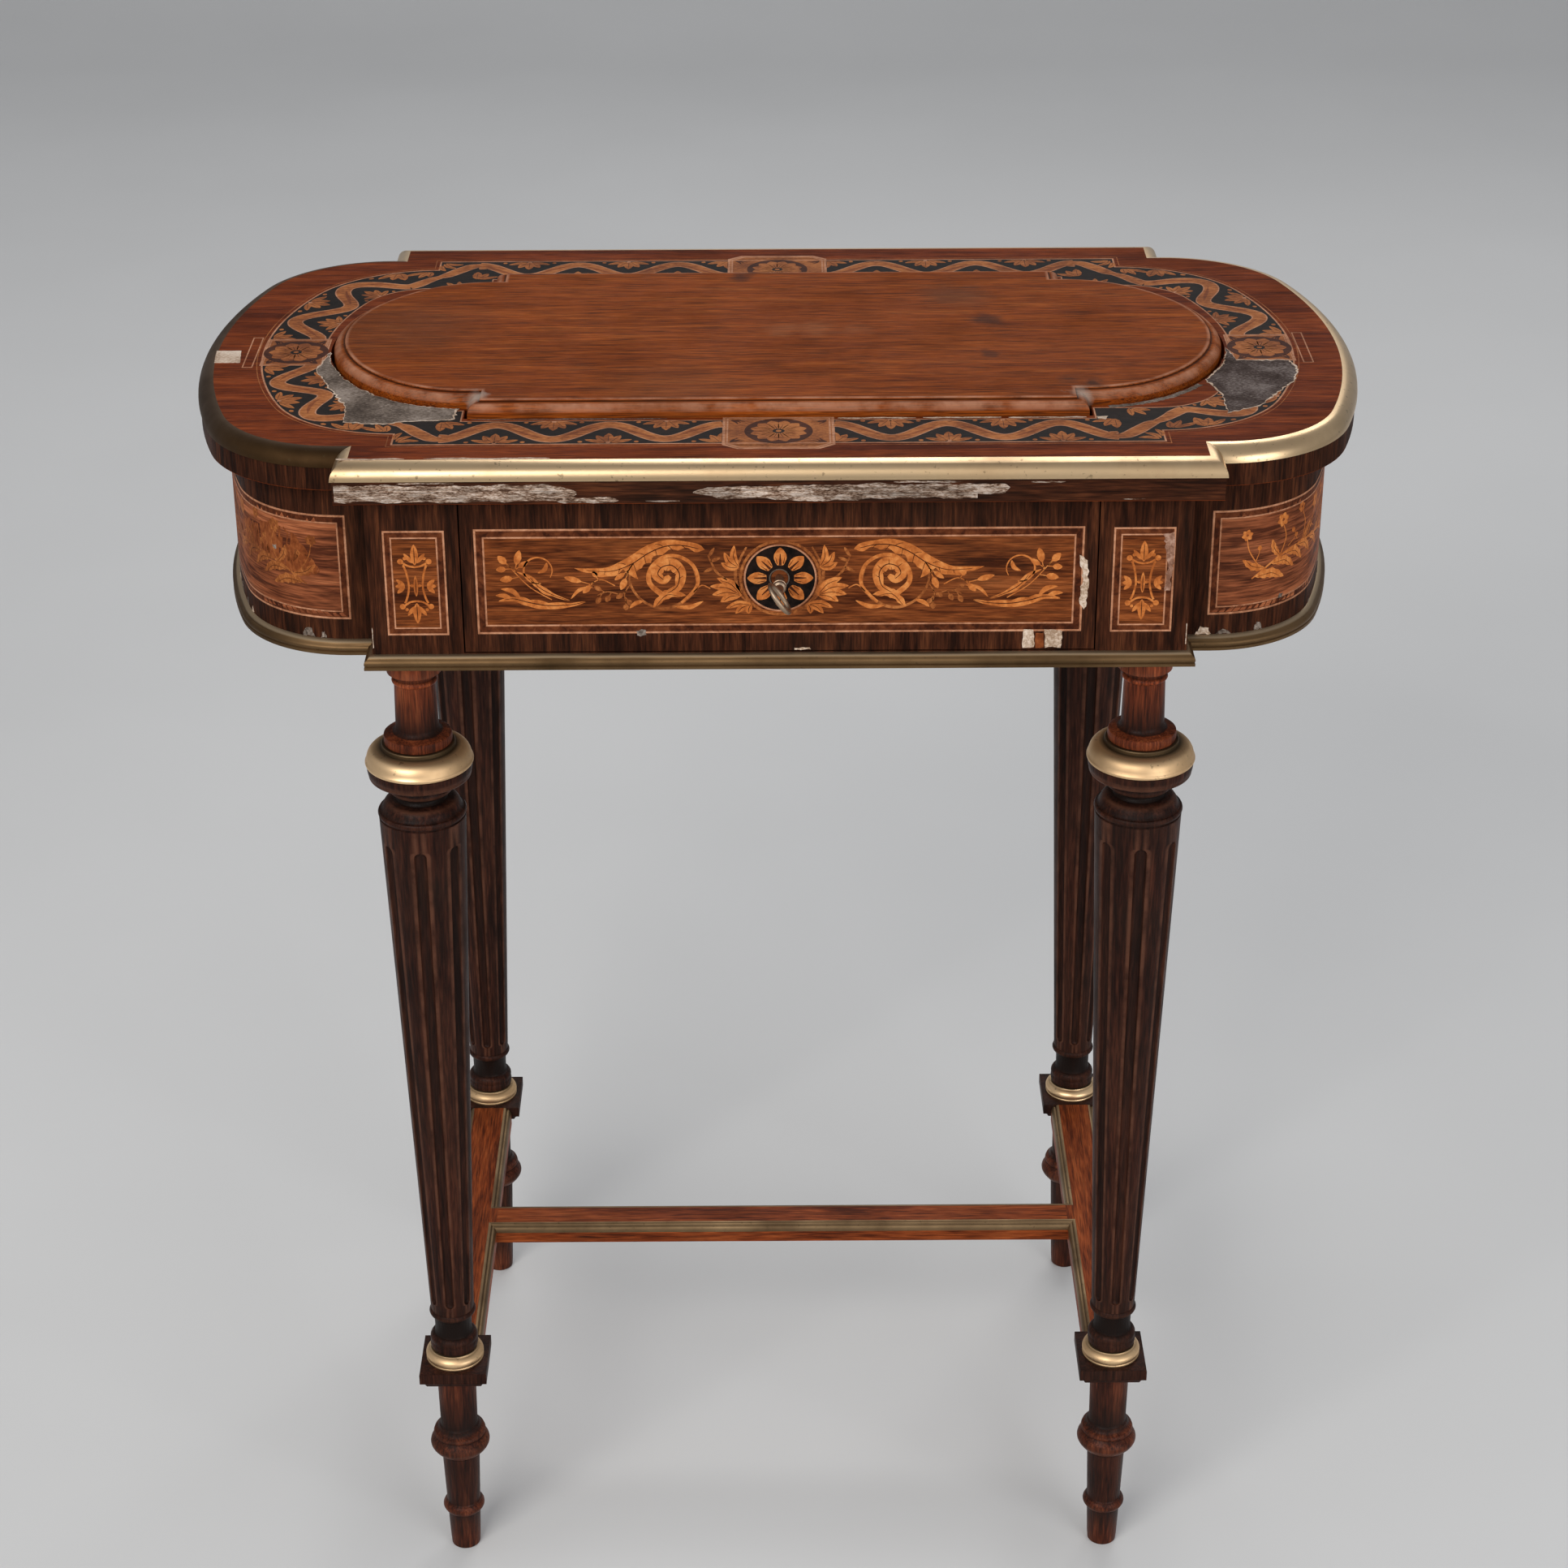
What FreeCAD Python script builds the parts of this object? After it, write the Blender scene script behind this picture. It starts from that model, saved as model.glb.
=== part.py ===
import FreeCAD, Part
import math
import os

# A poudreuse: a small dressing table with a stepped top, a lift-up lid over a well, one drawer
# behind the frieze, four turned and fluted legs and an H stretcher.
# All lengths are millimetres and all angles degrees. The front faces -Y and the floor is z = 0.

# Plan of the top, to the outer face of its brass edge, as half sizes about the centre. The share is
# that of the shoulders' radius and the end's rise, whichever is smaller over the other
straight_half = 235.0
length_half = 327.0
depth_half = 183.5
end_half = 163.0
shoulder_share = 0.85

# Top board and brass edge
top_height = 740.0
edge_radius = 9.0
band_height = 13.0
band_inset = 1.0

# Frieze: posts, aprons and the moulding round its foot
frieze_inset = 15.0
frieze_height = 100.5
post_width = 49.5
post_depth = 48.0
apron_thickness = 18.0
front_rail_height = 8.2
moulding_height = 7.8
moulding_reach = 4.6
moulding_slope = 3.0

# Lid and the recess that it lies in, set in from the outer face of the brass edge
lid_straight_margin = 67.0
lid_length_margin = 75.0
lid_depth_margin = 70.5
lid_end_margin = 65.0
lid_proud = 8.0
lid_round = 6.0
recess_depth = 10.0
recess_gap = 2.0
seat_gap = 0.3

# Well under the lid
well_half_length = 200.0
well_half_depth = 80.0
well_wall = 6.0
well_floor = 5.0
well_depth = 42.0
divider_thickness = 5.0
divider_place = 100.0
divider_drop = 6.0
groove_depth = 2.0
panel_play = 0.2

# Mirror under the lid
mirror_thickness = 3.0
mirror_lap = 4.0
mirror_frame_width = 14.0
mirror_frame_height = 8.0
mirror_frame_bevel = 4.0
mirror_frame_margin = 8.0

# Lid hinges
hinge_place = 105.0
hinge_length = 36.0
knuckle_gap = 0.3
barrel_radius = 2.6
barrel_clearance = 0.4
hinge_pin_radius = 1.2
hinge_pin_play = 0.04
hinge_rise = 1.6
leaf_thickness = 1.1
leaf_drop = 9.0
leaf_gap = 0.2

# Drawer
drawer_gap = 0.8
front_thickness = 20.0
side_thickness = 10.0
side_play = 0.6
side_height = 42.0
drawer_back_room = 29.0
bottom_thickness = 5.0
bottom_rise = 7.0
bottom_housing = 4.0

# Runners and stops
runner_width = 20.0
guide_thickness = 12.0
guide_height = 50.0
running_gap = 0.3
stop_length = 18.0
stop_width = 8.0
stop_height = 5.0
stop_place = 60.0

# Keyhole, lock and strike
keyhole_rise = 51.5
keyhole_radius = 4.8
lock_width = 40.0
lock_height = 60.0
lock_thickness = 9.0
lock_play = 0.2
lock_drop = 1.0
plate_thickness = 1.2
plate_lip = 5.0
chamber_depth = 6.5
drill_pin_radius = 1.1
drill_pin_length = 5.5
bolt_width = 16.0
bolt_thickness = 4.0
bolt_length = 26.0
bolt_play = 0.15
strike_length = 46.0
strike_width = 14.0
strike_thickness = 1.2
strike_depth = 7.0

# Key
key_radius = 2.4
key_play = 0.05
key_bit_reach = 4.2
key_bit_width = 1.6
key_bit_length = 3.5
key_collar_radius = 3.7
key_collar_length = 4.0
key_collar_gap = 9.5
key_stem = 22.5
bow_half_width = 10.5
bow_half_length = 8.5
bow_width = 3.0
bow_sides = 16
key_rest_angle = 35.0

# Turnings have flats round them, three to each flute of the leg
flute_count = 7
flats_per_flute = 3

# Upper members of the turned leg, from the frieze down
leg_inset = 19.5
tenon_half = 7.5
tenon_length = 40.0
tenon_play = 0.1
capital_radius = 15.0
capital_height = 14.5
column_radius = 11.4
astragal_radius = 12.9
astragal_height = 3.0
column_foot_radius = 12.0
column_height = 27.0
base_radius = 18.8
base_height = 4.0
base_band_height = 5.5
collar_inner_radius = 20.6
collar_shoulder_radius = 27.2
collar_radius = 30.0
collar_height = 12.5
collar_slope = 5.0
disc_radius = 29.2
disc_foot_radius = 27.8
disc_height = 8.5
cove_middle_radius = 21.0
cove_radius = 17.5
cove_height = 4.5
cove_band_height = 4.0
neck_radius = 13.6
neck_height = 4.5
shoulder_middle_radius = 19.6
shoulder_radius = 23.0
shoulder_height = 7.0
bead_radius = 24.9
bead_height = 4.5

# Fluted shaft and ankle of the leg
shaft_top_radius = 24.3
shaft_foot_radius = 12.9
anklet_radius = 13.9
anklet_height = 4.0
ankle_radius = 11.2
ankle_height = 14.0
torus_radius = 14.5
torus_height = 9.0
ring_top_radius = 14.9
ring_radius = 17.4
ring_height = 8.5
flute_top_width = 7.2
flute_foot_width = 5.0
flute_depth_share = 0.33
flute_floor_share = 0.45
flute_top_margin = 13.0
flute_foot_margin = 7.0

# Plinth blocks and feet
block_top = 144.0
block_half = 20.3
block_height = 11.7
block_bevel = 4.0
foot_tenon_length = 8.0
foot_column_radius = 11.8
foot_column_height = 39.5
knob_collar_radius = 15.6
knob_collar_height = 5.0
knob_radius = 19.8
knob_height = 15.5
foot_neck_radius = 11.6
foot_neck_height = 38.3
foot_ankle_radius = 10.3
foot_ring_radius = 12.9
foot_ring_height = 7.0
foot_radius = 10.0
foot_tip_radius = 8.8

# H stretcher
rail_width = 30.0
cross_width = 26.0
rail_height = 12.5
trim_radius = 5.0

# Flats round the small barrels of hinges and key
barrel_flats = 12

# Overrun for cuts, and the smallest step that counts as an edge
over = 1.0
least_edge = 0.000001

# A quarter round that runs round the curved plan is cut as three flats about its arc. This is the
# width of the middle one's chamfer as a share of the radius
flats_share = 2 - math.sqrt(2)

# Levels and places that follow from the sizes above
top_underside = top_height - edge_radius - band_height
frieze_foot = top_underside - frieze_height
frieze_half = straight_half - frieze_inset
frieze_front = depth_half - frieze_inset
opening_half = frieze_half - post_width
leg_x = frieze_half - leg_inset
leg_y = frieze_front - leg_inset
ledge_level = top_height - recess_depth
lid_bottom = ledge_level + seat_gap
lid_top = top_height + lid_proud
hinge_y = depth_half - lid_depth_margin + recess_gap / 2
hinge_z = top_height + hinge_rise
well_foot = top_underside - well_depth
drawer_foot = frieze_foot + front_rail_height + drawer_gap
drawer_head = top_underside - drawer_gap
drawer_inner = frieze_front - front_thickness
drawer_rear = frieze_front - apron_thickness - drawer_back_room
keyhole_z = frieze_foot + keyhole_rise
lock_head = drawer_head - lock_drop
chamber_end = chamber_depth - lock_thickness - drawer_inner
block_foot = block_top - block_height
mirror_half_length = well_half_length - mirror_frame_margin - mirror_frame_width
mirror_half_depth = well_half_depth - mirror_frame_margin - mirror_frame_width

# The key stands out past the top's edge, so the table is set back by half of that reach and the
# origin stays under the middle of the whole
key_reach = frieze_front + key_collar_gap + key_collar_length + key_stem
table_shift = max(0.0, key_reach - depth_half) / 2


def vec(x, y, z=0.0):
    return FreeCAD.Vector(x, y, z)


def box(x_range, y_range, z_range):
    size = [high - low for low, high in (x_range, y_range, z_range)]
    return Part.makeBox(*size, vec(x_range[0], y_range[0], z_range[0]))


def rod(radius, start, end):
    return Part.makeCylinder(radius, (end - start).Length, start, end - start)


def prism(points, low, high):
    wire = Part.makePolygon([vec(x, y, low) for x, y in points + points[:1]])
    return Part.Face(wire).extrude(vec(0, 0, high - low))


def mirror_x(shape):
    return shape.mirror(vec(0, 0), vec(1, 0))


def mirror_y(shape):
    return shape.mirror(vec(0, 0), vec(0, 1))


def pair(shape):
    """A piece at the right and its mirror image at the left, as one group of two solids."""
    return Part.makeCompound([shape, mirror_x(shape)])


def level_edges(shape, levels):
    """The edges of a shape that lie flat at one of the levels."""
    def lies_at(edge, level):
        return abs(edge.BoundBox.ZMin - level) < least_edge and edge.BoundBox.ZLength < least_edge
    return [edge for edge in shape.Edges if any(lies_at(edge, level) for level in levels)]


def flat_face(points):
    return Part.Face(Part.makePolygon(points + points[:1]))


def skinned(sections):
    """A solid through outlines with matching corners, closed all round by flat faces."""
    faces = [flat_face(sections[0]), flat_face(sections[-1])]
    for upper, lower in zip(sections, sections[1:]):
        faces += [flat_face([upper[corner - 1], upper[corner], lower[corner], lower[corner - 1]])
                  for corner in range(len(upper))]
    shell = Part.makeShell(faces)
    shell.sewShape()
    return Part.makeSolid(shell)


def turned(members, top):
    """A turning about Z. Its members run down from the top as (height, upper radius, lower radius)."""
    flats = flute_count * flats_per_flute
    turns = [2 * math.pi * flat / flats for flat in range(flats)]
    rims = []
    level = top
    for height, upper, lower in members:
        rims += [(upper, level), (lower, level - height)]
        level -= height
    apart = rims[:1] + [rim for rim, last in zip(rims[1:], rims) if math.dist(rim, last) > least_edge]
    return skinned([[vec(radius * math.cos(turn), radius * math.sin(turn), rim_level)
                     for turn in turns] for radius, rim_level in apart])


def height_of(members):
    return sum(member[0] for member in members)


def square_pin(half, low, high):
    """A square tenon or mortise on the axis, between two heights."""
    return box((-half, half), (-half, half), (low, high))


class Plan:
    """A stepped oblong: straight sections front and back, three-centred arches at the ends."""

    def __init__(self, straight, length, depth, end):
        rise = length - straight
        self.straight = straight
        self.length = length
        self.depth = depth
        self.end = end
        self.shoulder = rise * shoulder_share if rise < end else rise / shoulder_share
        self.crown = (rise**2 + end**2 - 2 * end * self.shoulder) / (2 * (rise - self.shoulder))

    def right_edges(self, inset):
        """The outline from the front right corner round to the back right corner."""
        shoulder = self.shoulder - inset
        crown_x = self.length - self.crown
        centre = vec(self.straight, self.shoulder - self.end)
        lean = math.asin(max(0.0, -inset) / shoulder)
        way = math.copysign(1, self.crown - self.shoulder)
        turn = math.atan2(way * centre.y, way * (centre.x - crown_x))
        middle_turn = (lean - math.pi / 2 + turn) / 2
        x = self.straight - inset
        corner = vec(x, inset - self.depth)
        notch = vec(x, centre.y - shoulder * math.cos(lean))
        start = vec(max(x, self.straight), notch.y)
        middle = centre + vec(math.cos(middle_turn), math.sin(middle_turn)) * shoulder
        meet = centre + vec(math.cos(turn), math.sin(turn)) * shoulder
        edges = [Part.makeLine(corner, notch)]
        if (start - notch).Length > least_edge:
            edges.append(Part.makeLine(notch, start))
        edges.append(Part.Arc(start, middle, meet).toShape())
        crown = Part.Arc(meet, vec(self.length - inset, 0), vec(meet.x, -meet.y)).toShape()
        return edges + [crown] + [mirror_y(edge) for edge in edges]

    def slab(self, inset, low, high):
        """The plan between two heights, drawn in by the inset or let out where it is negative."""
        x = self.straight - inset
        y = self.depth - inset
        right = self.right_edges(inset)
        left = [mirror_x(edge) for edge in right]
        front = Part.makeLine(vec(-x, -y), vec(x, -y))
        wire = Part.Wire(Part.__sortEdges__([front, mirror_y(front)] + right + left))
        face = Part.Face(wire)
        face.translate(vec(0, 0, low))
        return face.extrude(vec(0, 0, high - low))

    def moulded_slab(self, inset, low, high, slope):
        """A slab with a flat at 45 degrees along its top edge."""
        slab = self.slab(inset, low, high)
        return slab.makeChamfer(slope, level_edges(slab, [high]))


top_plan = Plan(straight_half, length_half, depth_half, end_half)
lid_plan = Plan(straight_half - lid_straight_margin, length_half - lid_length_margin,
                depth_half - lid_depth_margin, end_half - lid_end_margin)


def quarters(ring):
    """A ring round the top's plan, cut along the mitres of its four inner corners."""
    bounds = ring.BoundBox
    apex = straight_half - end_half
    reach = length_half + depth_half
    front = [(0, apex), (-reach, apex - reach), (reach, apex - reach)]
    right = [(apex, 0), (apex + reach, -reach), (apex + reach, reach)]
    front_piece = ring.common(prism(front, bounds.ZMin - over, bounds.ZMax + over))
    right_piece = ring.common(prism(right, bounds.ZMin - over, bounds.ZMax + over))
    return {"front": front_piece, "back": mirror_y(front_piece),
            "right": right_piece, "left": mirror_x(right_piece)}


def top_edge():
    """The brass quarter round on the edge of the top, in four mitred lengths."""
    low = top_height - edge_radius
    ring = top_plan.moulded_slab(0.0, low, top_height, edge_radius * flats_share)
    return quarters(ring.cut(top_plan.slab(edge_radius, low - over, top_height + over)))


def frieze_moulding():
    """The brass moulding round the foot of the frieze, in four mitred lengths."""
    top = frieze_foot + moulding_height
    ring = top_plan.moulded_slab(frieze_inset - moulding_reach, frieze_foot, top, moulding_slope)
    return quarters(ring.cut(top_plan.slab(frieze_inset, frieze_foot - over, top + over)))


def hinge_channel():
    """The channels in lid and top that the hinge barrels work in."""
    half = hinge_length / 2 + knuckle_gap
    return pair(barrel(barrel_radius + barrel_clearance, *on_hinge(-half, half)))


def leaf_blank(side):
    """One leaf before it is notched: side 1 lies on the wall of the recess, side -1 on the lid."""
    faces = sorted([hinge_y + side * leaf_gap / 2, hinge_y + side * (leaf_gap / 2 + leaf_thickness)])
    half = hinge_length / 2
    return box((hinge_place - half, hinge_place + half), faces, (hinge_z - leaf_drop, hinge_z))


def lock_slot(play, low, high):
    """The bolt's section above the lock, with some play round it, between two heights."""
    middle = lock_thickness / 2 - drawer_inner - lock_thickness
    half_x = bolt_width / 2 + play
    half_y = bolt_thickness / 2 + play
    return box((-half_x, half_x), (middle - half_y, middle + half_y), (low, high))


def strike_blank():
    middle = lock_thickness / 2 - drawer_inner - lock_thickness
    return box((-strike_length / 2, strike_length / 2),
               (middle - strike_width / 2, middle + strike_width / 2),
               (top_underside, top_underside + strike_thickness))


def top_board():
    """The top: veneered band, rebate for the brass, recess for the lid and opening to the well."""
    low = top_height - edge_radius
    board = top_plan.slab(band_inset, top_underside, low)
    board = board.fuse(top_plan.slab(edge_radius, low, top_height)).removeSplitter()
    recess = lid_plan.slab(-recess_gap, ledge_level, top_height + over)
    board = board.cut([recess, well_space(top_underside - over, top_height)])
    board = board.cut([hinge_channel(), pair(leaf_blank(1))])
    mortise = lock_slot(bolt_play, top_underside, top_underside + strike_depth)
    return board.cut([strike_blank(), mortise])


def strike_plate():
    return strike_blank().cut(lock_slot(bolt_play, top_underside - over, top_underside + strike_depth))


def corner_post():
    """The front right corner block of the frieze, bored from below for the leg's tenon."""
    post = box((opening_half, frieze_half), (-frieze_front, post_depth - frieze_front),
               (frieze_foot, top_underside))
    mortise = square_pin(tenon_half + tenon_play, frieze_foot - over,
                         frieze_foot + tenon_length + over)
    return post.cut(mortise.translated(vec(leg_x, -leg_y)))


def end_apron():
    """The bowed side of the frieze, sawn to three flats inside."""
    levels = (frieze_foot, top_underside)
    bow_end = length_half - frieze_inset - apron_thickness
    side_end = end_half - frieze_inset - apron_thickness
    corner = top_plan.shoulder - frieze_inset
    inside = [(frieze_half - over, -side_end), (frieze_half + apron_thickness, -side_end),
              (bow_end, corner - side_end), (bow_end, side_end - corner),
              (frieze_half + apron_thickness, side_end), (frieze_half - over, side_end)]
    block = top_plan.slab(frieze_inset, *levels)
    block = block.common(box((frieze_half, length_half), (-depth_half, depth_half), levels))
    return block.cut(prism(inside, frieze_foot - over, top_underside + over))


def back_apron():
    return box((-opening_half, opening_half), (frieze_front - apron_thickness, frieze_front),
               (frieze_foot, top_underside))


def front_rail():
    return box((-opening_half, opening_half), (-frieze_front, post_depth - frieze_front),
               (frieze_foot, frieze_foot + front_rail_height))


def drawer_runner():
    """The guide board and runner for the right side of the drawer."""
    inner = frieze_front - post_depth
    guide = box((opening_half, opening_half + guide_thickness), (-inner, inner),
                (frieze_foot, frieze_foot + guide_height))
    runner = box((opening_half - runner_width, opening_half),
                 (-inner, frieze_front - apron_thickness), (frieze_foot, drawer_foot - running_gap))
    return guide.fuse(runner).removeSplitter()


def drawer_stops():
    """Two blocks on the front rail that meet the back of the drawer front."""
    face = running_gap - drawer_inner
    level = frieze_foot + front_rail_height
    return pair(box((stop_place - stop_length / 2, stop_place + stop_length / 2),
                    (face, face + stop_width), (level, level + stop_height)))


def well_space(low, high, wall=0.0):
    """The oblong of the well between two heights, with its wall or without."""
    x = well_half_length + wall
    y = well_half_depth + wall
    return box((-x, x), (-y, y), (low, high))


def divider_blank(play, housed):
    half = divider_thickness / 2 + play
    reach = well_half_depth + housed
    return box((divider_place - half, divider_place + half), (-reach, reach),
               (well_foot, top_underside - divider_drop + play))


def well_walls():
    """The thin boards that line the well below the top, grooved for the dividers."""
    ring = well_space(well_foot, top_underside, well_wall)
    ring = ring.cut(well_space(well_foot - over, top_underside + over))
    return ring.cut(pair(divider_blank(panel_play, groove_depth)))


def well_floor_board():
    return well_space(well_foot - well_floor, well_foot, well_wall)


def lid_panel():
    """The lid, worked to a round along its top edge and housed for the hinges."""
    board = lid_plan.moulded_slab(0.0, lid_bottom, lid_top, lid_round * flats_share)
    return board.cut([hinge_channel(), pair(leaf_blank(-1))])


def mirror_plate(play=0.0):
    x = mirror_half_length + mirror_lap + play
    y = mirror_half_depth + mirror_lap + play
    return box((-x, x), (-y, y), (lid_bottom - mirror_thickness - play, lid_bottom))


def mirror_frame():
    """The bevelled frame under the lid, rebated for the mirror."""
    x = mirror_half_length + mirror_frame_width
    y = mirror_half_depth + mirror_frame_width
    low = lid_bottom - mirror_frame_height
    frame = box((-x, x), (-y, y), (low, lid_bottom))
    frame = frame.makeChamfer(mirror_frame_bevel, level_edges(frame, [low]))
    sight = box((-mirror_half_length, mirror_half_length), (-mirror_half_depth, mirror_half_depth),
                (low - over, lid_bottom))
    return frame.cut([sight, mirror_plate(panel_play)])


def barrel(radius, start, end):
    """A small barrel with flats round it, between two points."""
    across = vec(0, 0, radius)
    turns = [FreeCAD.Rotation(end - start, 360 * flat / barrel_flats)
             for flat in range(barrel_flats)]
    return flat_face([start + turn.multVec(across) for turn in turns]).extrude(end - start)


def on_hinge(low, high):
    """Two points on the hinge's axis, at places along it from the hinge's middle."""
    return (vec(hinge_place + low, hinge_y, hinge_z), vec(hinge_place + high, hinge_y, hinge_z))


def hinge_leaf(side, knuckle, other_knuckle):
    """A leaf with its own knuckle, notched round that of the other leaf."""
    low, high = other_knuckle
    notch = rod(barrel_radius + knuckle_gap, *on_hinge(low - knuckle_gap, high + knuckle_gap))
    return leaf_blank(side).cut(notch).fuse(barrel(barrel_radius, *on_hinge(*knuckle)))


def hinges():
    """The handed pair of butt hinges: leaves with pins on the top, bored leaves on the lid."""
    half = hinge_length / 2
    inner_knuckle = (-half, -knuckle_gap / 2)
    outer_knuckle = (knuckle_gap / 2, half)
    pin = rod(hinge_pin_radius, *on_hinge(-half, half))
    eye = rod(hinge_pin_radius + hinge_pin_play, *on_hinge(0, hinge_length))
    top_leaf = hinge_leaf(1, inner_knuckle, outer_knuckle).fuse(pin).removeSplitter()
    lid_leaf = hinge_leaf(-1, outer_knuckle, inner_knuckle).removeSplitter().cut(eye)
    return pair(top_leaf), pair(lid_leaf)


def lock_body(play):
    """The block of the lock let into the back of the drawer front, with some play round it."""
    half = lock_width / 2 + play
    return box((-half, half), (-drawer_inner - lock_thickness - play, -drawer_inner),
               (lock_head - lock_height - play, lock_head))


def drawer_front():
    """The veneered front, bored for the keyhole and housed behind for the lock."""
    half = opening_half - drawer_gap
    front = box((-half, half), (-frieze_front, -drawer_inner), (drawer_foot, drawer_head))
    hole = rod(keyhole_radius, vec(0, -frieze_front - over, keyhole_z),
               vec(0, -drawer_inner, keyhole_z))
    housing = lock_body(lock_play)
    open_head = housing.translated(vec(0, 0, lock_drop))
    return front.cut([hole, housing, open_head])


def lock_case():
    """The lock: body and back plate, with the key's chamber, its drill pin and the bolt's way."""
    half = lock_width / 2 + plate_lip
    plate = box((-half, half), (-drawer_inner, plate_thickness - drawer_inner),
                (lock_head - lock_height - plate_lip, lock_head))
    chamber = rod(keyhole_radius, vec(0, -drawer_inner - lock_thickness, keyhole_z),
                  vec(0, chamber_end, keyhole_z))
    drill_pin = rod(drill_pin_radius, vec(0, chamber_end - drill_pin_length, keyhole_z),
                    vec(0, chamber_end, keyhole_z))
    case = lock_body(0.0).fuse(plate).removeSplitter()
    case = case.cut([chamber, lock_slot(bolt_play, lock_head - bolt_length, lock_head)])
    return case.fuse(drill_pin).removeSplitter()


def lock_bolt():
    return lock_slot(0.0, lock_head - bolt_length + bolt_play, lock_head)


def bow(half_width, half_length):
    """An oval plate of the bow's thickness, standing along the shank."""
    turns = [2 * math.pi * side / bow_sides for side in range(bow_sides + 1)]
    rim = [vec(-bow_width / 2, half_length * math.sin(turn), half_width * math.cos(turn))
           for turn in turns]
    return Part.Face(Part.makePolygon(rim)).extrude(vec(bow_width, 0))


def key():
    """The key: a hollow shank on the lock's drill pin, with bit, collar and oval bow."""
    tip = chamber_end - running_gap
    collar_back = -frieze_front - key_collar_gap
    collar_front = collar_back - key_collar_length
    bow_middle = collar_front - key_stem + bow_half_length
    shank = barrel(key_radius, vec(0, tip), vec(0, bow_middle + bow_half_length - bow_width))
    collar = barrel(key_collar_radius, vec(0, collar_back), vec(0, collar_front))
    bit = box((-key_bit_width / 2, key_bit_width / 2), (tip - key_bit_length, tip), (0, key_bit_reach))
    ring = bow(bow_half_width, bow_half_length)
    ring = ring.cut(bow(bow_half_width - bow_width, bow_half_length - bow_width))
    bore = rod(drill_pin_radius + key_play, vec(0, tip + over),
               vec(0, chamber_end - drill_pin_length - running_gap))
    whole = shank.fuse([collar, bit, ring.translated(vec(0, bow_middle))]).cut(bore)
    whole.rotate(vec(0, 0), vec(0, 1), -key_rest_angle)
    return whole.translated(vec(0, 0, keyhole_z))


def drawer_bottom(play=0.0):
    """The bottom, housed in grooves of the sides and reaching the drawer's full length."""
    half = opening_half - side_play - side_thickness + bottom_housing + play
    low = drawer_foot + bottom_rise
    return box((-half, half), (-drawer_inner, drawer_rear),
               (low - play, low + bottom_thickness + play))


def drawer_side():
    outer = opening_half - side_play
    side = box((outer - side_thickness, outer), (-drawer_inner, drawer_rear),
               (drawer_foot, drawer_foot + side_height))
    return side.cut(drawer_bottom(panel_play))


def drawer_back():
    """The back board, standing on the drawer's bottom between the sides."""
    half = opening_half - side_play - side_thickness
    return box((-half, half), (drawer_rear - side_thickness, drawer_rear),
               (drawer_foot + bottom_rise + bottom_thickness, drawer_foot + side_height))


column_members = [
    (capital_height, capital_radius, column_radius),
    (astragal_height / 2, column_radius, astragal_radius),
    (astragal_height / 2, astragal_radius, column_radius),
    (column_height, column_radius, column_foot_radius),
    (base_height, column_foot_radius, base_radius),
    (base_band_height, base_radius, base_radius),
]
disc_members = [
    (disc_height, disc_radius, disc_foot_radius),
    (cove_height / 2, disc_foot_radius, cove_middle_radius),
    (cove_height / 2, cove_middle_radius, cove_radius),
    (cove_band_height, cove_radius, cove_radius),
    (neck_height, neck_radius, neck_radius),
    (shoulder_height / 2, neck_radius, shoulder_middle_radius),
    (shoulder_height / 2, shoulder_middle_radius, shoulder_radius),
    (bead_height / 2, shoulder_radius, bead_radius),
    (bead_height / 2, bead_radius, shaft_top_radius),
]
ankle_members = [
    (anklet_height / 2, shaft_foot_radius, anklet_radius),
    (anklet_height / 2, anklet_radius, ankle_radius),
    (ankle_height, ankle_radius, ankle_radius),
    (torus_height / 2, ankle_radius, torus_radius),
    (torus_height / 2, torus_radius, torus_radius),
]
collar_top = frieze_foot - height_of(column_members)
disc_top = collar_top - collar_height
shaft_top = disc_top - height_of(disc_members)
shaft_foot = block_top + ring_height + height_of(ankle_members)


def flutes():
    """The cutters for the hollows down the tapering shaft, spaced evenly about it."""
    def section(level, width):
        share = (shaft_top - level) / (shaft_top - shaft_foot)
        face = shaft_top_radius + share * (shaft_foot_radius - shaft_top_radius)
        floor = width * flute_floor_share / 2
        depth = width * flute_depth_share
        mouth = width - floor
        return [vec(-mouth, -face - depth, level), vec(mouth, -face - depth, level),
                vec(floor, depth - face, level), vec(-floor, depth - face, level)]

    cutter = skinned([section(shaft_top - flute_top_margin, flute_top_width),
                      section(shaft_foot + flute_foot_margin, flute_foot_width)])
    return [cutter.rotated(vec(0, 0), vec(0, 0, 1), 360 * index / flute_count)
            for index in range(flute_count)]


def leg():
    """A leg, from the tenon in its post to the tenon through ring, block and foot."""
    shaft = [(shaft_top - shaft_foot, shaft_top_radius, shaft_foot_radius)]
    pins = [square_pin(tenon_half, disc_top, collar_top),
            square_pin(tenon_half, frieze_foot, frieze_foot + tenon_length),
            square_pin(tenon_half, block_foot - foot_tenon_length, block_top + ring_height)]
    body = turned(disc_members + shaft + ankle_members, disc_top).cut(flutes())
    return body.fuse([turned(column_members, frieze_foot)] + pins).removeSplitter()


def mortised(shape):
    """A piece on the leg's axis, with the mortise for the leg's tenon cut through it."""
    bounds = shape.BoundBox
    return shape.cut(square_pin(tenon_half + tenon_play, bounds.ZMin - over, bounds.ZMax + over))


def leg_collar():
    """The large brass ring between the column and the disc."""
    members = [
        (collar_slope, collar_inner_radius, collar_shoulder_radius),
        (collar_height - collar_slope, collar_shoulder_radius, collar_radius),
    ]
    return mortised(turned(members, collar_top))


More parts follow.
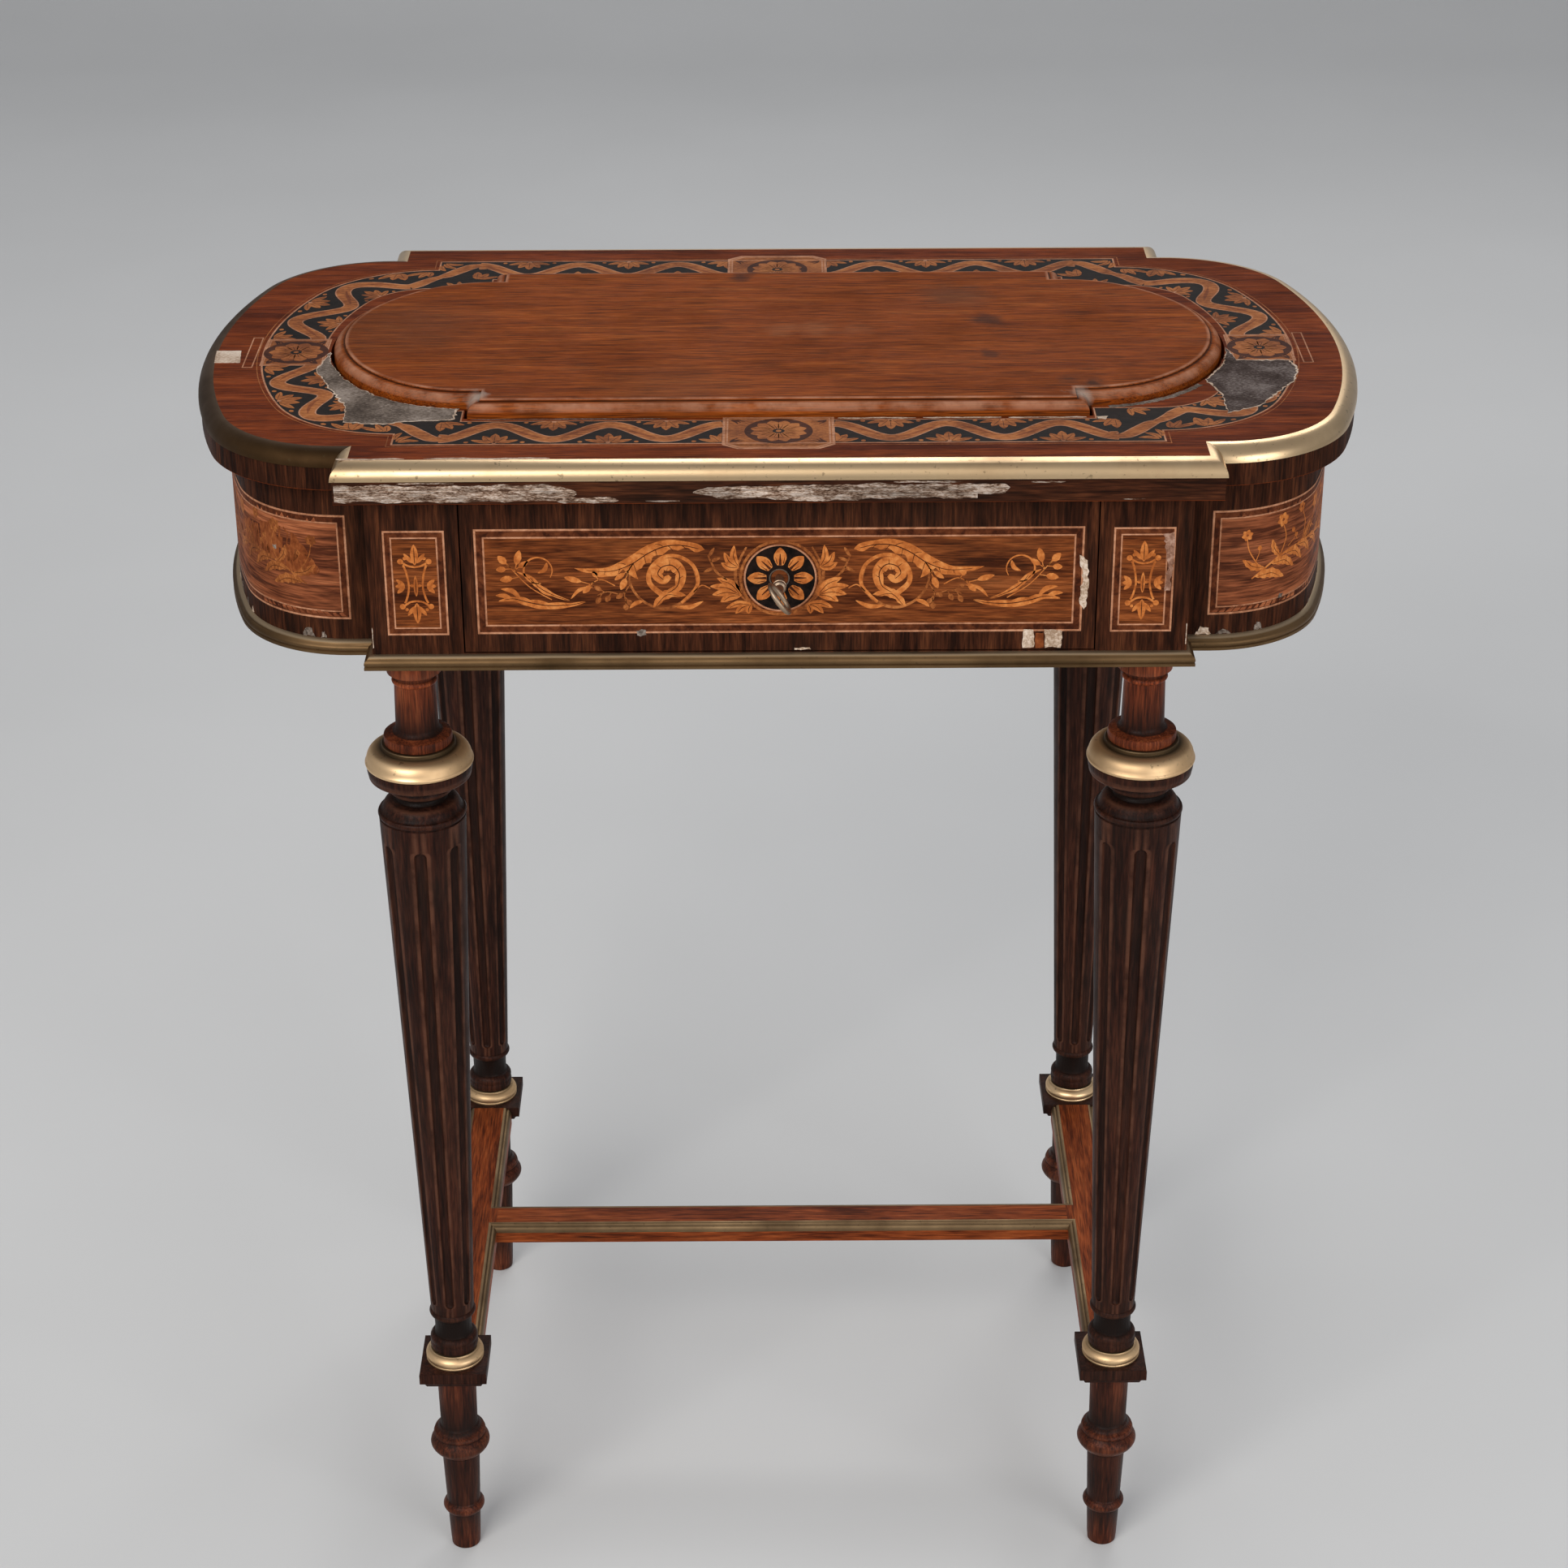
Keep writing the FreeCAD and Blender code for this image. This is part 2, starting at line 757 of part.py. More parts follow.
def ankle_ring():
    """The small brass ring on the plinth block."""
    return mortised(turned([(ring_height, ring_top_radius, ring_radius)], block_top + ring_height))


def plinth_block():
    """The square block where leg, stretcher and foot meet."""
    block = square_pin(block_half, block_foot, block_top)
    return mortised(block.makeChamfer(block_bevel, level_edges(block, [block_foot])))


def foot():
    """The turned foot below the plinth block, with a blind mortise for the leg's tenon."""
    members = [
        (foot_column_height, foot_column_radius, foot_column_radius),
        (knob_collar_height, foot_column_radius, knob_collar_radius),
        (knob_height / 2, knob_collar_radius, knob_radius),
        (knob_height / 2, knob_radius, foot_neck_radius),
        (foot_neck_height, foot_neck_radius, foot_ankle_radius),
        (foot_ring_height / 2, foot_ankle_radius, foot_ring_radius),
        (foot_ring_height / 2, foot_ring_radius, foot_radius),
    ]
    members.append((block_foot - height_of(members), foot_radius, foot_tip_radius))
    mortise = square_pin(tenon_half + tenon_play, block_foot - foot_tenon_length, block_foot + over)
    return turned(members, block_foot).cut(mortise)


def h_plan(inset, low, high):
    """The H of side and cross rails, each drawn in by the inset along its long edges."""
    side_end = leg_y - block_half
    side = box((leg_x - rail_width / 2 + inset, leg_x + rail_width / 2 - inset),
               (-side_end, side_end), (low, high))
    cross = box((-leg_x, leg_x), (inset - cross_width / 2, cross_width / 2 - inset), (low, high))
    return side.fuse([cross, mirror_x(side)]).removeSplitter()


def stretcher():
    """The rails and the brass quarter rounds of the H stretcher, by the names of their nodes."""
    rebate = block_top - trim_radius
    wall = leg_x - rail_width / 2
    end = leg_y - block_half
    low = block_top - rail_height
    wood = h_plan(0.0, low, rebate).fuse(h_plan(trim_radius, rebate, block_top)).removeSplitter()
    round_top = h_plan(0.0, rebate, block_top)
    long_edges = [edge for edge in level_edges(round_top, [block_top])
                  if abs(abs(edge.CenterOfMass.y) - end) > trim_radius]
    round_top = round_top.makeChamfer(trim_radius * flats_share, long_edges)
    trim = round_top.cut(h_plan(trim_radius, rebate - over, block_top + over))
    reach = cross_width / 2
    mitres = [(wall, -reach), (wall + reach, 0), (wall, reach), (-wall, reach),
              (-wall - reach, 0), (-wall, -reach)]
    between = prism(mitres, rebate - over, block_top + over)
    front_half = box((-length_half, length_half), (-depth_half, 0), (low, block_top))
    right_half = box((0, length_half), (-depth_half, depth_half), (low, block_top))
    middle = box((-wall, wall), (-depth_half, depth_half), (low, block_top))
    cross_trim = trim.common(between)
    side_trim = trim.cut(between).common(right_half)
    side = wood.cut(middle).common(right_half)
    return {"side_stretcher_right": side, "side_stretcher_left": mirror_x(side),
            "cross_stretcher": wood.common(middle),
            "side_trim_right": side_trim, "side_trim_left": mirror_x(side_trim),
            "cross_trim_front": cross_trim.common(front_half),
            "cross_trim_back": mirror_y(cross_trim.common(front_half))}


def on_four_legs(name, shape):
    """A piece made on the leg's axis, carried to each of the four legs."""
    places = {"front_left": (-leg_x, -leg_y), "front_right": (leg_x, -leg_y),
              "back_left": (-leg_x, leg_y), "back_right": (leg_x, leg_y)}
    return {f"{name}_{corner}": shape.translated(vec(x, y)) for corner, (x, y) in places.items()}


def table():
    """Every piece of the table, by the name of its node."""
    post = corner_post()
    apron = end_apron()
    runner = drawer_runner()
    side = drawer_side()
    divider = divider_blank(0.0, groove_depth - panel_play)
    fixed_leaves, lid_leaves = hinges()
    pieces = {
        "top_board": top_board(),
        "corner_post_front_right": post,
        "corner_post_front_left": mirror_x(post),
        "corner_post_back_right": mirror_y(post),
        "corner_post_back_left": mirror_x(mirror_y(post)),
        "end_apron_right": apron,
        "end_apron_left": mirror_x(apron),
        "back_apron": back_apron(),
        "front_rail": front_rail(),
        "drawer_runner_right": runner,
        "drawer_runner_left": mirror_x(runner),
        "drawer_stops": drawer_stops(),
        "well_walls": well_walls(),
        "well_floor": well_floor_board(),
        "well_divider_right": divider,
        "well_divider_left": mirror_x(divider),
        "strike_plate": strike_plate(),
        "hinge_leaves_top": fixed_leaves,
        "hinge_leaves_lid": lid_leaves,
        "lid_panel": lid_panel(),
        "mirror_frame": mirror_frame(),
        "mirror_glass": mirror_plate(),
        "drawer_front": drawer_front(),
        "drawer_side_right": side,
        "drawer_side_left": mirror_x(side),
        "drawer_back": drawer_back(),
        "drawer_bottom": drawer_bottom(),
        "lock_case": lock_case(),
        "lock_bolt": lock_bolt(),
        "key": key(),
    }
    pieces["top_edge"] = group(top_edge())
    pieces["frieze_moulding"] = group(frieze_moulding())
    pieces.update(stretcher())
    pieces.update(on_four_legs("leg", leg()))
    pieces["leg_collars"] = group(on_four_legs("collar", leg_collar()))
    pieces["ankle_rings"] = group(on_four_legs("ring", ankle_ring()))
    pieces["plinth_blocks"] = group(on_four_legs("block", plinth_block()))
    pieces["feet"] = group(on_four_legs("foot", foot()))
    return pieces


def group(pieces):
    return Part.makeCompound(list(pieces.values()))


os.makedirs("parts", exist_ok=True)
for name, shape in table().items():
    shape.translated(vec(0, table_shift)).exportStep(f"parts/{name}.step")
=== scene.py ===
import math
import random

import bmesh
import bpy
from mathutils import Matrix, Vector

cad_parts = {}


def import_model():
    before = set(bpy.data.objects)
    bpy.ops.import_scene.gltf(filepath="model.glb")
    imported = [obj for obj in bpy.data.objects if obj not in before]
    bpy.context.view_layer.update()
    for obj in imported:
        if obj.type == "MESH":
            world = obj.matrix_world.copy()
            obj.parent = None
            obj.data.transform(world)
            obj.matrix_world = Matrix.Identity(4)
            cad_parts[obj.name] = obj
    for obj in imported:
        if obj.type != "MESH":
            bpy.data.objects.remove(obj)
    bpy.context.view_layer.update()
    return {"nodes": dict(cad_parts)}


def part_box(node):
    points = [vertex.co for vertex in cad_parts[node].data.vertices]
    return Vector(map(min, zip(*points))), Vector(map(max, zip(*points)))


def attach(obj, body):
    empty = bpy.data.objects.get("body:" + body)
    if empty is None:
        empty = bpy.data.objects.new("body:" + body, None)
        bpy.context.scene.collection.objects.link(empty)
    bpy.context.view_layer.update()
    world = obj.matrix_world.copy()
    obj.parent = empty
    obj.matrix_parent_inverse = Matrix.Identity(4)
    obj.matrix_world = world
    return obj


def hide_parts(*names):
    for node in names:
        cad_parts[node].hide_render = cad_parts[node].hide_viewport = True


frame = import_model()

# Lengths are millimetres about the table's own middle. `world` turns them into metres in the
# row frame, where the table stands back by `shift` so that the key keeps the origin in the middle.
top_low, top_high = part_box("top_board")
shift = (top_low.y + top_high.y) / 2
unit = 0.001
weld = 2e-6


def world(point):
    return Vector((point[0] * unit, point[1] * unit + shift, point[2] * unit))


# Geometry helpers.
def placed(name, data):
    """An object of the scene that holds the data."""
    made = bpy.data.objects.new(name, data)
    bpy.context.scene.collection.objects.link(made)
    return made


def formed(name, verts, faces, use=None):
    """A mesh of millimetre points with welded corners and outward faces."""
    mesh = bpy.data.meshes.new(name)
    mesh.from_pydata([world(v) for v in verts], [], faces)
    if use:
        mesh.attributes.new("use", "FLOAT", "POINT").data.foreach_set("value", use)
    work = bmesh.new()
    work.from_mesh(mesh)
    bmesh.ops.remove_doubles(work, verts=work.verts, dist=weld)
    bmesh.ops.recalc_face_normals(work, faces=work.faces)
    work.to_mesh(mesh)
    work.free()
    return mesh


def softened(mesh, sharp=32):
    """Smooth shading, but for edges that turn by more than `sharp` degrees."""
    mesh.shade_smooth()
    mesh.set_sharp_from_angle(angle=math.radians(sharp))


class Shell:
    """Vertices and faces of one piece, gathered part by part. Its attribute `use` is 0 where the colour is
    darkened, partly dirt and partly painted shade in hollows,
    1 where it is brightened, partly wear and partly a painted highlight on edges and beads, and a half
    elsewhere."""

    def __init__(self):
        self.verts, self.faces, self.use = [], [], []

    def loft(self, rings, back=False, caps=False, use=None):
        """Faces between closed rings of equal length, joined back to the first or capped."""
        first, count = len(self.verts), len(rings[0])
        for ring in rings:
            self.verts += ring
        self.use += use or [0.5] * (len(rings) * count)
        for i in range(len(rings) if back else len(rings) - 1):
            a, b = first + i * count, first + (i + 1) % len(rings) * count
            for j in range(count):
                k = (j + 1) % count
                self.faces.append((a + j, a + k, b + k, b + j))
        if caps:
            for start in (first, first + (len(rings) - 1) * count):
                self.faces.append(tuple(range(start, start + count)))
        return self

    def across(self, rings, **more):
        """A capped loft between the first points of all rings, their second points, and so on."""
        return self.loft([list(column) for column in zip(*rings)], caps=True, **more)

    def box(self, low, high):
        (x, y, z), (u, v, w) = low, high
        return self.loft([[(x, y, z), (u, y, z), (u, v, z), (x, v, z)],
                          [(x, y, w), (u, y, w), (u, v, w), (x, v, w)]], caps=True)

    def made(self, name, body, slot, paint, stands_for=(), sharp=32):
        """The piece, on a body, with its material and the nodes that it stands for. `slot` is not used."""
        mesh = formed(name, self.verts, self.faces, self.use)
        softened(mesh, sharp)
        mesh.materials.append(paint)
        piece = placed(name, mesh)
        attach(piece, body)
        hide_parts(*stands_for)
        return piece


def polar(centre, radius, angle):
    return centre[0] + radius * math.cos(angle), centre[1] + radius * math.sin(angle)


def turns(count):
    """The angles of a full turn, without its end."""
    return [2 * math.pi * i / count for i in range(count)]


def arc(centre, radius, start, end, count):
    return [polar(centre, radius, start + (end - start) * i / count) for i in range(count + 1)]


class Plan:
    """A stepped oblong with three-centred arches at the ends, as in the CAD model."""
    share = 0.85

    def __init__(self, straight, length, depth, end):
        rise = length - straight
        self.straight, self.length, self.depth, self.end = straight, length, depth, end
        self.shoulder = self.share * rise
        self.crown = (rise**2 + end**2 - 2 * end * self.shoulder) / (2 * (rise - self.shoulder))

    def right(self, inset=0):
        """From the front right corner, round the right end, to the back right corner."""
        radius = self.shoulder - inset
        cx, cy = self.straight, self.shoulder - self.end
        crown_x = self.length - self.crown
        lean = math.asin(max(0, -inset) / radius)
        turn = math.atan2(cy, cx - crown_x)
        x = self.straight - inset
        level = cy - radius * math.cos(lean)
        half = [(x, inset - self.depth), (x, level), (max(x, self.straight), level)]
        half += arc((cx, cy), radius, lean - math.pi / 2, turn, 16)[1:]
        crown = arc((crown_x, 0), self.crown - inset, turn, -turn, 24)[1:-1]
        return half + crown + [(a, -b) for a, b in reversed(half)]

    def outline(self, inset=0):
        right = self.right(inset)
        return right + [(-x, y) for x, y in reversed(right)]

    def ring(self, inset, z):
        return [(x, y, z) for x, y in self.outline(inset)]


top_plan = Plan(235, 327, 183.5, 163)
lid_plan = Plan(168, 252, 113, 98)
border_plan = Plan(205, 292, 153, 137)


def quarter(plan, side, inset, z):
    """The part of a plan's ring that one of its four mitred lengths covers."""
    right = plan.right(inset)
    if side == "right":
        ring = right[1:-1]
    elif side == "left":
        ring = [(-x, y) for x, y in reversed(right)][1:-1]
    else:
        ring = [(-right[1][0], right[1][1]), (-right[0][0], right[0][1]), right[0], right[1]]
        if side == "back":
            ring = [(-x, -y) for x, y in ring]
    return [(x, y, z) for x, y in ring]


def wear_dirt_and_light(profile):
    """How light or dark each point of a turning's profile is painted: beads lighter, partly wear and partly
    a painted highlight, hollows darker, partly dirt and partly painted shade.
    """
    reach = 5
    made = []
    for r, z in profile:
        near = [a for a, b in profile if abs(b - z) < reach]
        wear = 0.5 + 0.16 * min(3, r - sum(near) / len(near)) - 0.05 * min(4, max(near) - r)
        made.append(max(0, min(1, wear)))
    return made


def ring_at(x, y, outline, z):
    """The (radius, angle) points of an outline, at a level about a place."""
    return [(*polar((x, y), r, a), z) for r, a in outline]


def turned(name, profile, body, slot, paint, stands_for, count):
    """A turning about each corner, from (radius, level) points between its two ends."""
    shell = Shell()
    use = [value for value in wear_dirt_and_light(profile) for _ in range(count)]
    for x, y in corners:
        shell.loft([ring_at(x, y, [(r, a) for a in turns(count)], z) for r, z in profile], caps=True,
                   use=use)
    return shell.made(name, body, slot, paint, stands_for=stands_for)


def round_profile(points):
    """Turns (radius, level, roundness) points into a profile: a roundness r above zero puts a bulge
    of that height on the way to the next point, and below zero a hollow."""
    made = []
    for (r0, z0, bulge), (r1, z1, _) in zip(points, points[1:]):
        steps = 8 if bulge else 1
        dr, dz = r1 - r0, z1 - z0
        length = math.hypot(dr, dz) or 1
        for i in range(steps):
            t = i / steps
            lift = bulge * math.sin(math.pi * t)
            made.append((r0 + dr * t - lift * dz / length, z0 + dz * t + lift * dr / length))
    made.append(points[-1][:2])
    return made


# Materials.
class Paint:
    """A node material, built from the shader back to the texture coordinates."""

    def __init__(self, name, roughness=0.5, metallic=0, specular=0.5):
        self.mat = bpy.data.materials.new(name)
        self.mat.use_nodes = True
        self.tree = self.mat.node_tree
        self.shader = self.tree.nodes["Principled BSDF"]
        for key, value in {"Roughness": roughness, "Metallic": metallic,
                           "Specular IOR Level": specular}.items():
            self.shader.inputs[key].default_value = value
        self.place = self.node("ShaderNodeTexCoord").outputs["Object"]

    def link(self, source, target):
        if isinstance(source, bpy.types.NodeSocket):
            self.tree.links.new(source, target)
        else:
            target.default_value = source

    def node(self, kind, inputs=(), **settings):
        """A node with its settings, and with a source or a plain value for each of its inputs."""
        made = self.tree.nodes.new(kind)
        for key, value in settings.items():
            setattr(made, key, value)
        for key, source in dict(inputs).items():
            self.link(source, made.inputs[key])
        return made

    def mapped(self, scale, offset=(0, 0, 0)):
        return self.node("ShaderNodeMapping", {"Vector": self.place, "Scale": scale,
                                               "Location": offset}).outputs["Vector"]

    def noise(self, vector, scale, detail, rough=0.55, warp=0):
        inputs = {"Vector": vector, "Scale": scale, "Detail": detail, "Roughness": rough,
                  "Distortion": warp}
        return self.node("ShaderNodeTexNoise", inputs).outputs["Fac"]

    def ramp(self, value, stops):
        made = self.node("ShaderNodeValToRGB", {"Fac": value})
        ramp = made.color_ramp
        while len(ramp.elements) < len(stops):
            ramp.elements.new(0.5)
        for element, (place, colour) in zip(ramp.elements, stops):
            element.position = place
            element.color = (*colour, 1) if isinstance(colour, tuple) else (colour,) * 3 + (1,)
        return made.outputs["Color"]

    def math(self, operation, *values):
        return self.node("ShaderNodeMath", enumerate(values), operation=operation).outputs[0]

    def total(self, *parts):
        """The sum of (value, weight) parts."""
        made = None
        for value, weight in parts:
            part = self.math("MULTIPLY", value, weight)
            made = part if made is None else self.math("ADD", made, part)
        return made

    def mix(self, share, a, b):
        """A mix of two colours, each a source or its three parts."""
        a, b = ((*colour, 1) if isinstance(colour, tuple) else colour for colour in (a, b))
        inputs = {"Factor": share, "A": a, "B": b}
        return self.node("ShaderNodeMix", inputs, data_type="RGBA", blend_type="MIX").outputs["Result"]

    def bump(self, height, strength, distance=0.0004):
        made = self.node("ShaderNodeBump", {"Strength": strength, "Distance": distance, "Height": height})
        self.link(made.outputs["Normal"], self.shader.inputs["Normal"])

    def spot(self, colour, centre, radius, mark, strength):
        """A soft mark round a point of the object, broken by a noise of `shake` metres."""
        shake = 0.02
        away = self.node("ShaderNodeVectorMath", {0: self.place, 1: world(centre)}, operation="DISTANCE")
        broken = self.math("MULTIPLY", self.noise(self.place, 90, 4), shake)
        ragged = self.math("ADD", away.outputs["Value"], broken)
        inside = self.ramp(ragged, [(shake / 2 + radius * unit * 0.3, strength),
                                    (shake / 2 + radius * unit, 0)])
        return self.mix(inside, colour, mark)

    def wear_dirt_and_light(self, colour, dirt_and_shade, wear_and_highlight):
        """Darkens where the attribute `use` is low, partly dirt and partly painted shade in hollows, and
        patchily brightens where it is high, partly wear and partly a painted highlight on edges.
        """
        use = self.node("ShaderNodeAttribute", attribute_name="use").outputs["Fac"]
        patch = self.ramp(self.noise(self.place, 60, 4, 0.6), [(0.35, 0.15), (0.62, 1)])
        dark = self.ramp(use, [(0.02, 0.92), (0.46, 0)])
        bright = self.ramp(use, [(0.56, 0), (0.95, 0.75)])
        colour = self.mix(dark, colour, dirt_and_shade)
        return self.mix(self.math("MULTIPLY", bright, patch), colour, wear_and_highlight)

    def finish(self, colour, roughness=None):
        self.link(colour, self.shader.inputs["Base Color"])
        if roughness is not None:
            self.link(roughness, self.shader.inputs["Roughness"])
        return self.mat


def tones(*colours, low=0.41, high=0.61):
    """Colour stops set evenly over the values that a blend of noises takes."""
    step = (high - low) / (len(colours) - 1)
    return [(low + step * i, colour) for i, colour in enumerate(colours)]


def wood(name, stops, along="x", band=60, stretch=14, fibre=900, pores=0.45, rough=0.42,
         grime=0.35, seed=0, bump=0.22, shine=0.015, highlight_and_wear_colour=False, mend=None):
    """Wood with growth bands, fibres and dark pores that run along an axis or lie in a plane."""
    paint = Paint(name, specular=shine)
    scale, long_scale = (tuple(1 if axis in along else spread for axis in "xyz")
                         for spread in (stretch, 34))
    flow = paint.mapped(scale, (seed, seed * 1.7, seed * 0.6))
    broad = paint.noise(flow, band / stretch, 3, 0.6, 0.6)
    middle = paint.noise(flow, 5 * band / stretch, 3, 0.6, 0.3)
    fine = paint.noise(flow, fibre / stretch, 2, 0.5, 0.2)
    pore = paint.noise(paint.mapped(long_scale, (seed, 0, seed)), 46, 2, 0.5)
    colour = paint.ramp(paint.total((broad, 0.45), (middle, 0.33), (fine, 0.22)), stops)
    pore = paint.ramp(pore, [(0.4, 1), (0.5, 0)])
    colour = paint.mix(paint.math("MULTIPLY", pore, pores), colour, (0.012, 0.006, 0.004))
    dirt = paint.ramp(paint.noise(paint.place, 16, 5, 0.65), [(0.42, 0), (0.75, 1)])
    colour = paint.mix(paint.math("MULTIPLY", dirt, grime), colour, (0.02, 0.012, 0.008))
    if highlight_and_wear_colour:
        # Near-black where `use` is low, partly dirt and partly painted shade in hollows; the given edge
        # colour where it is high, partly wear and partly a painted highlight.
        colour = paint.wear_dirt_and_light(colour, (0.008, 0.005, 0.004), highlight_and_wear_colour)
    if mend:
        colour = mend(paint, colour)
    paint.bump(paint.math("SUBTRACT", fine, paint.math("MULTIPLY", pore, 0.8)), bump)
    return paint.finish(colour, paint.math("MULTIPLY_ADD", dirt, 0.22, rough))


def brass(name, bright=(0.66, 0.47, 0.27), dull=(0.25, 0.155, 0.08), tarnish=0.35, rough=0.3, seed=0,
          dirt=(0.05, 0.032, 0.016)):
    """Old brass, satin from rubbing, with broad brown tarnish, fine specks and dirt in its hollows."""
    paint = Paint(name, metallic=1)
    cloud = paint.noise(paint.mapped((1, 1, 1), (seed, seed, 0)), 11, 5, 0.6)
    spots = paint.noise(paint.mapped((1, 1, 1), (0, seed, 3)), 420, 2, 0.5)
    mask = paint.ramp(cloud, [(0.62 - tarnish * 0.5, 0), (0.86 - tarnish * 0.3, 1)])
    speck = paint.ramp(spots, [(0.66, 0), (0.74, 1)])
    colour = paint.mix(paint.math("MULTIPLY", speck, 0.5), paint.mix(mask, bright, dull),
                       (0.06, 0.04, 0.02))
    paint.bump(cloud, 0.04, 0.0003)
    return paint.finish(paint.wear_dirt_and_light(colour, dirt, bright), paint.math("MULTIPLY_ADD", mask, 0.22, rough))


def inlay(name, stops, scale=260, rough=0.5, bump=0.15):
    """One veneer of the marquetry: its own colour, finely figured, rubbed and slightly dirty."""
    paint = Paint(name, specular=0.035)
    figure = paint.noise(paint.mapped((1, 3, 1)), scale, 3, 0.6, 0.4)
    cloud = paint.noise(paint.place, 38, 4, 0.6)
    paint.bump(figure, bump, 0.0002)
    return paint.finish(paint.ramp(paint.total((figure, 0.5), (cloud, 0.5)), stops), rough)


def lid_marks(paint, colour):
    """The knot, the smudges and the pale rubbed streak on the lid."""
    rubbed, dusty = (0.36, 0.15, 0.066), (0.34, 0.26, 0.21)
    for x, y, z, radius, mark, strength in (
            (121, 18, 748, 13, (0.03, 0.015, 0.012), 0.75), (104, 62, 748, 26, (0.1, 0.045, 0.026), 0.5),
            (-22, 96, 748, 9, (0.03, 0.012, 0.008), 0.7), (2, 4, 748, 13, rubbed, 0.22),
            (22, 5, 748, 16, rubbed, 0.26), (44, 4, 748, 11, rubbed, 0.18), (-164, -99, 745, 9, dusty, 0.9),
            (164, -99, 745, 9, dusty, 0.9), (172, -86, 748, 7, (0.03, 0.015, 0.01), 0.8),
            (118, -38, 748, 6, (0.06, 0.02, 0.01), 0.7), (-215, 10, 748, 60, (0.09, 0.03, 0.012), 0.45),
            (160, -78, 748, 8, (0.05, 0.02, 0.012), 0.7), (-60, -88, 748, 44, (0.14, 0.045, 0.016), 0.35)):
        colour = paint.spot(colour, (x, y, z), radius, mark, strength)
    return colour


rosewood_dark = tones((0.014, 0.0055, 0.0035), (0.032, 0.0105, 0.0054), (0.054, 0.017, 0.008),
                      (0.09, 0.029, 0.012))
rosewood_red = tones((0.05, 0.012, 0.0045), (0.125, 0.032, 0.0095), (0.205, 0.055, 0.015),
                     (0.3, 0.088, 0.025))
veneer_top = tones((0.085, 0.013, 0.0025), (0.15, 0.026, 0.005), (0.205, 0.038, 0.007),
                   (0.27, 0.056, 0.012))
walnut_warm = tones((0.175, 0.033, 0.004), (0.23, 0.047, 0.0055), (0.28, 0.06, 0.0075),
                    (0.345, 0.088, 0.014))
stained = tones((0.011, 0.0038, 0.0026), (0.023, 0.0072, 0.0044), (0.036, 0.0112, 0.0064),
                (0.058, 0.0185, 0.01))
turned_wood = tones((0.085, 0.016, 0.0046), (0.18, 0.035, 0.0088), (0.26, 0.054, 0.013),
                    (0.35, 0.084, 0.022))
neck_wood = tones((0.086, 0.0175, 0.0062), (0.176, 0.036, 0.0125), (0.262, 0.057, 0.019),
                  (0.36, 0.09, 0.03))
foot_wood = tones((0.028, 0.0072, 0.004), (0.062, 0.015, 0.0072), (0.098, 0.024, 0.0105),
                  (0.15, 0.041, 0.018))
end_wood = tones((0.082, 0.022, 0.0102), (0.192, 0.055, 0.0225), (0.3, 0.09, 0.0365), (0.42, 0.14, 0.058))
raw = tones((0.2, 0.115, 0.055), (0.32, 0.19, 0.095), (0.4, 0.25, 0.135), (0.47, 0.31, 0.18))
pale_wood = tones((0.1, 0.052, 0.032), (0.28, 0.18, 0.125), (0.45, 0.33, 0.25), (0.62, 0.5, 0.42), low=0.43,
                  high=0.57)
# Colours that the attribute `use` paints on edges and beads: partly wear, partly a painted highlight.
wear_and_highlight = (0.105, 0.042, 0.024)
edge_wear_and_highlight = (0.47, 0.225, 0.135)

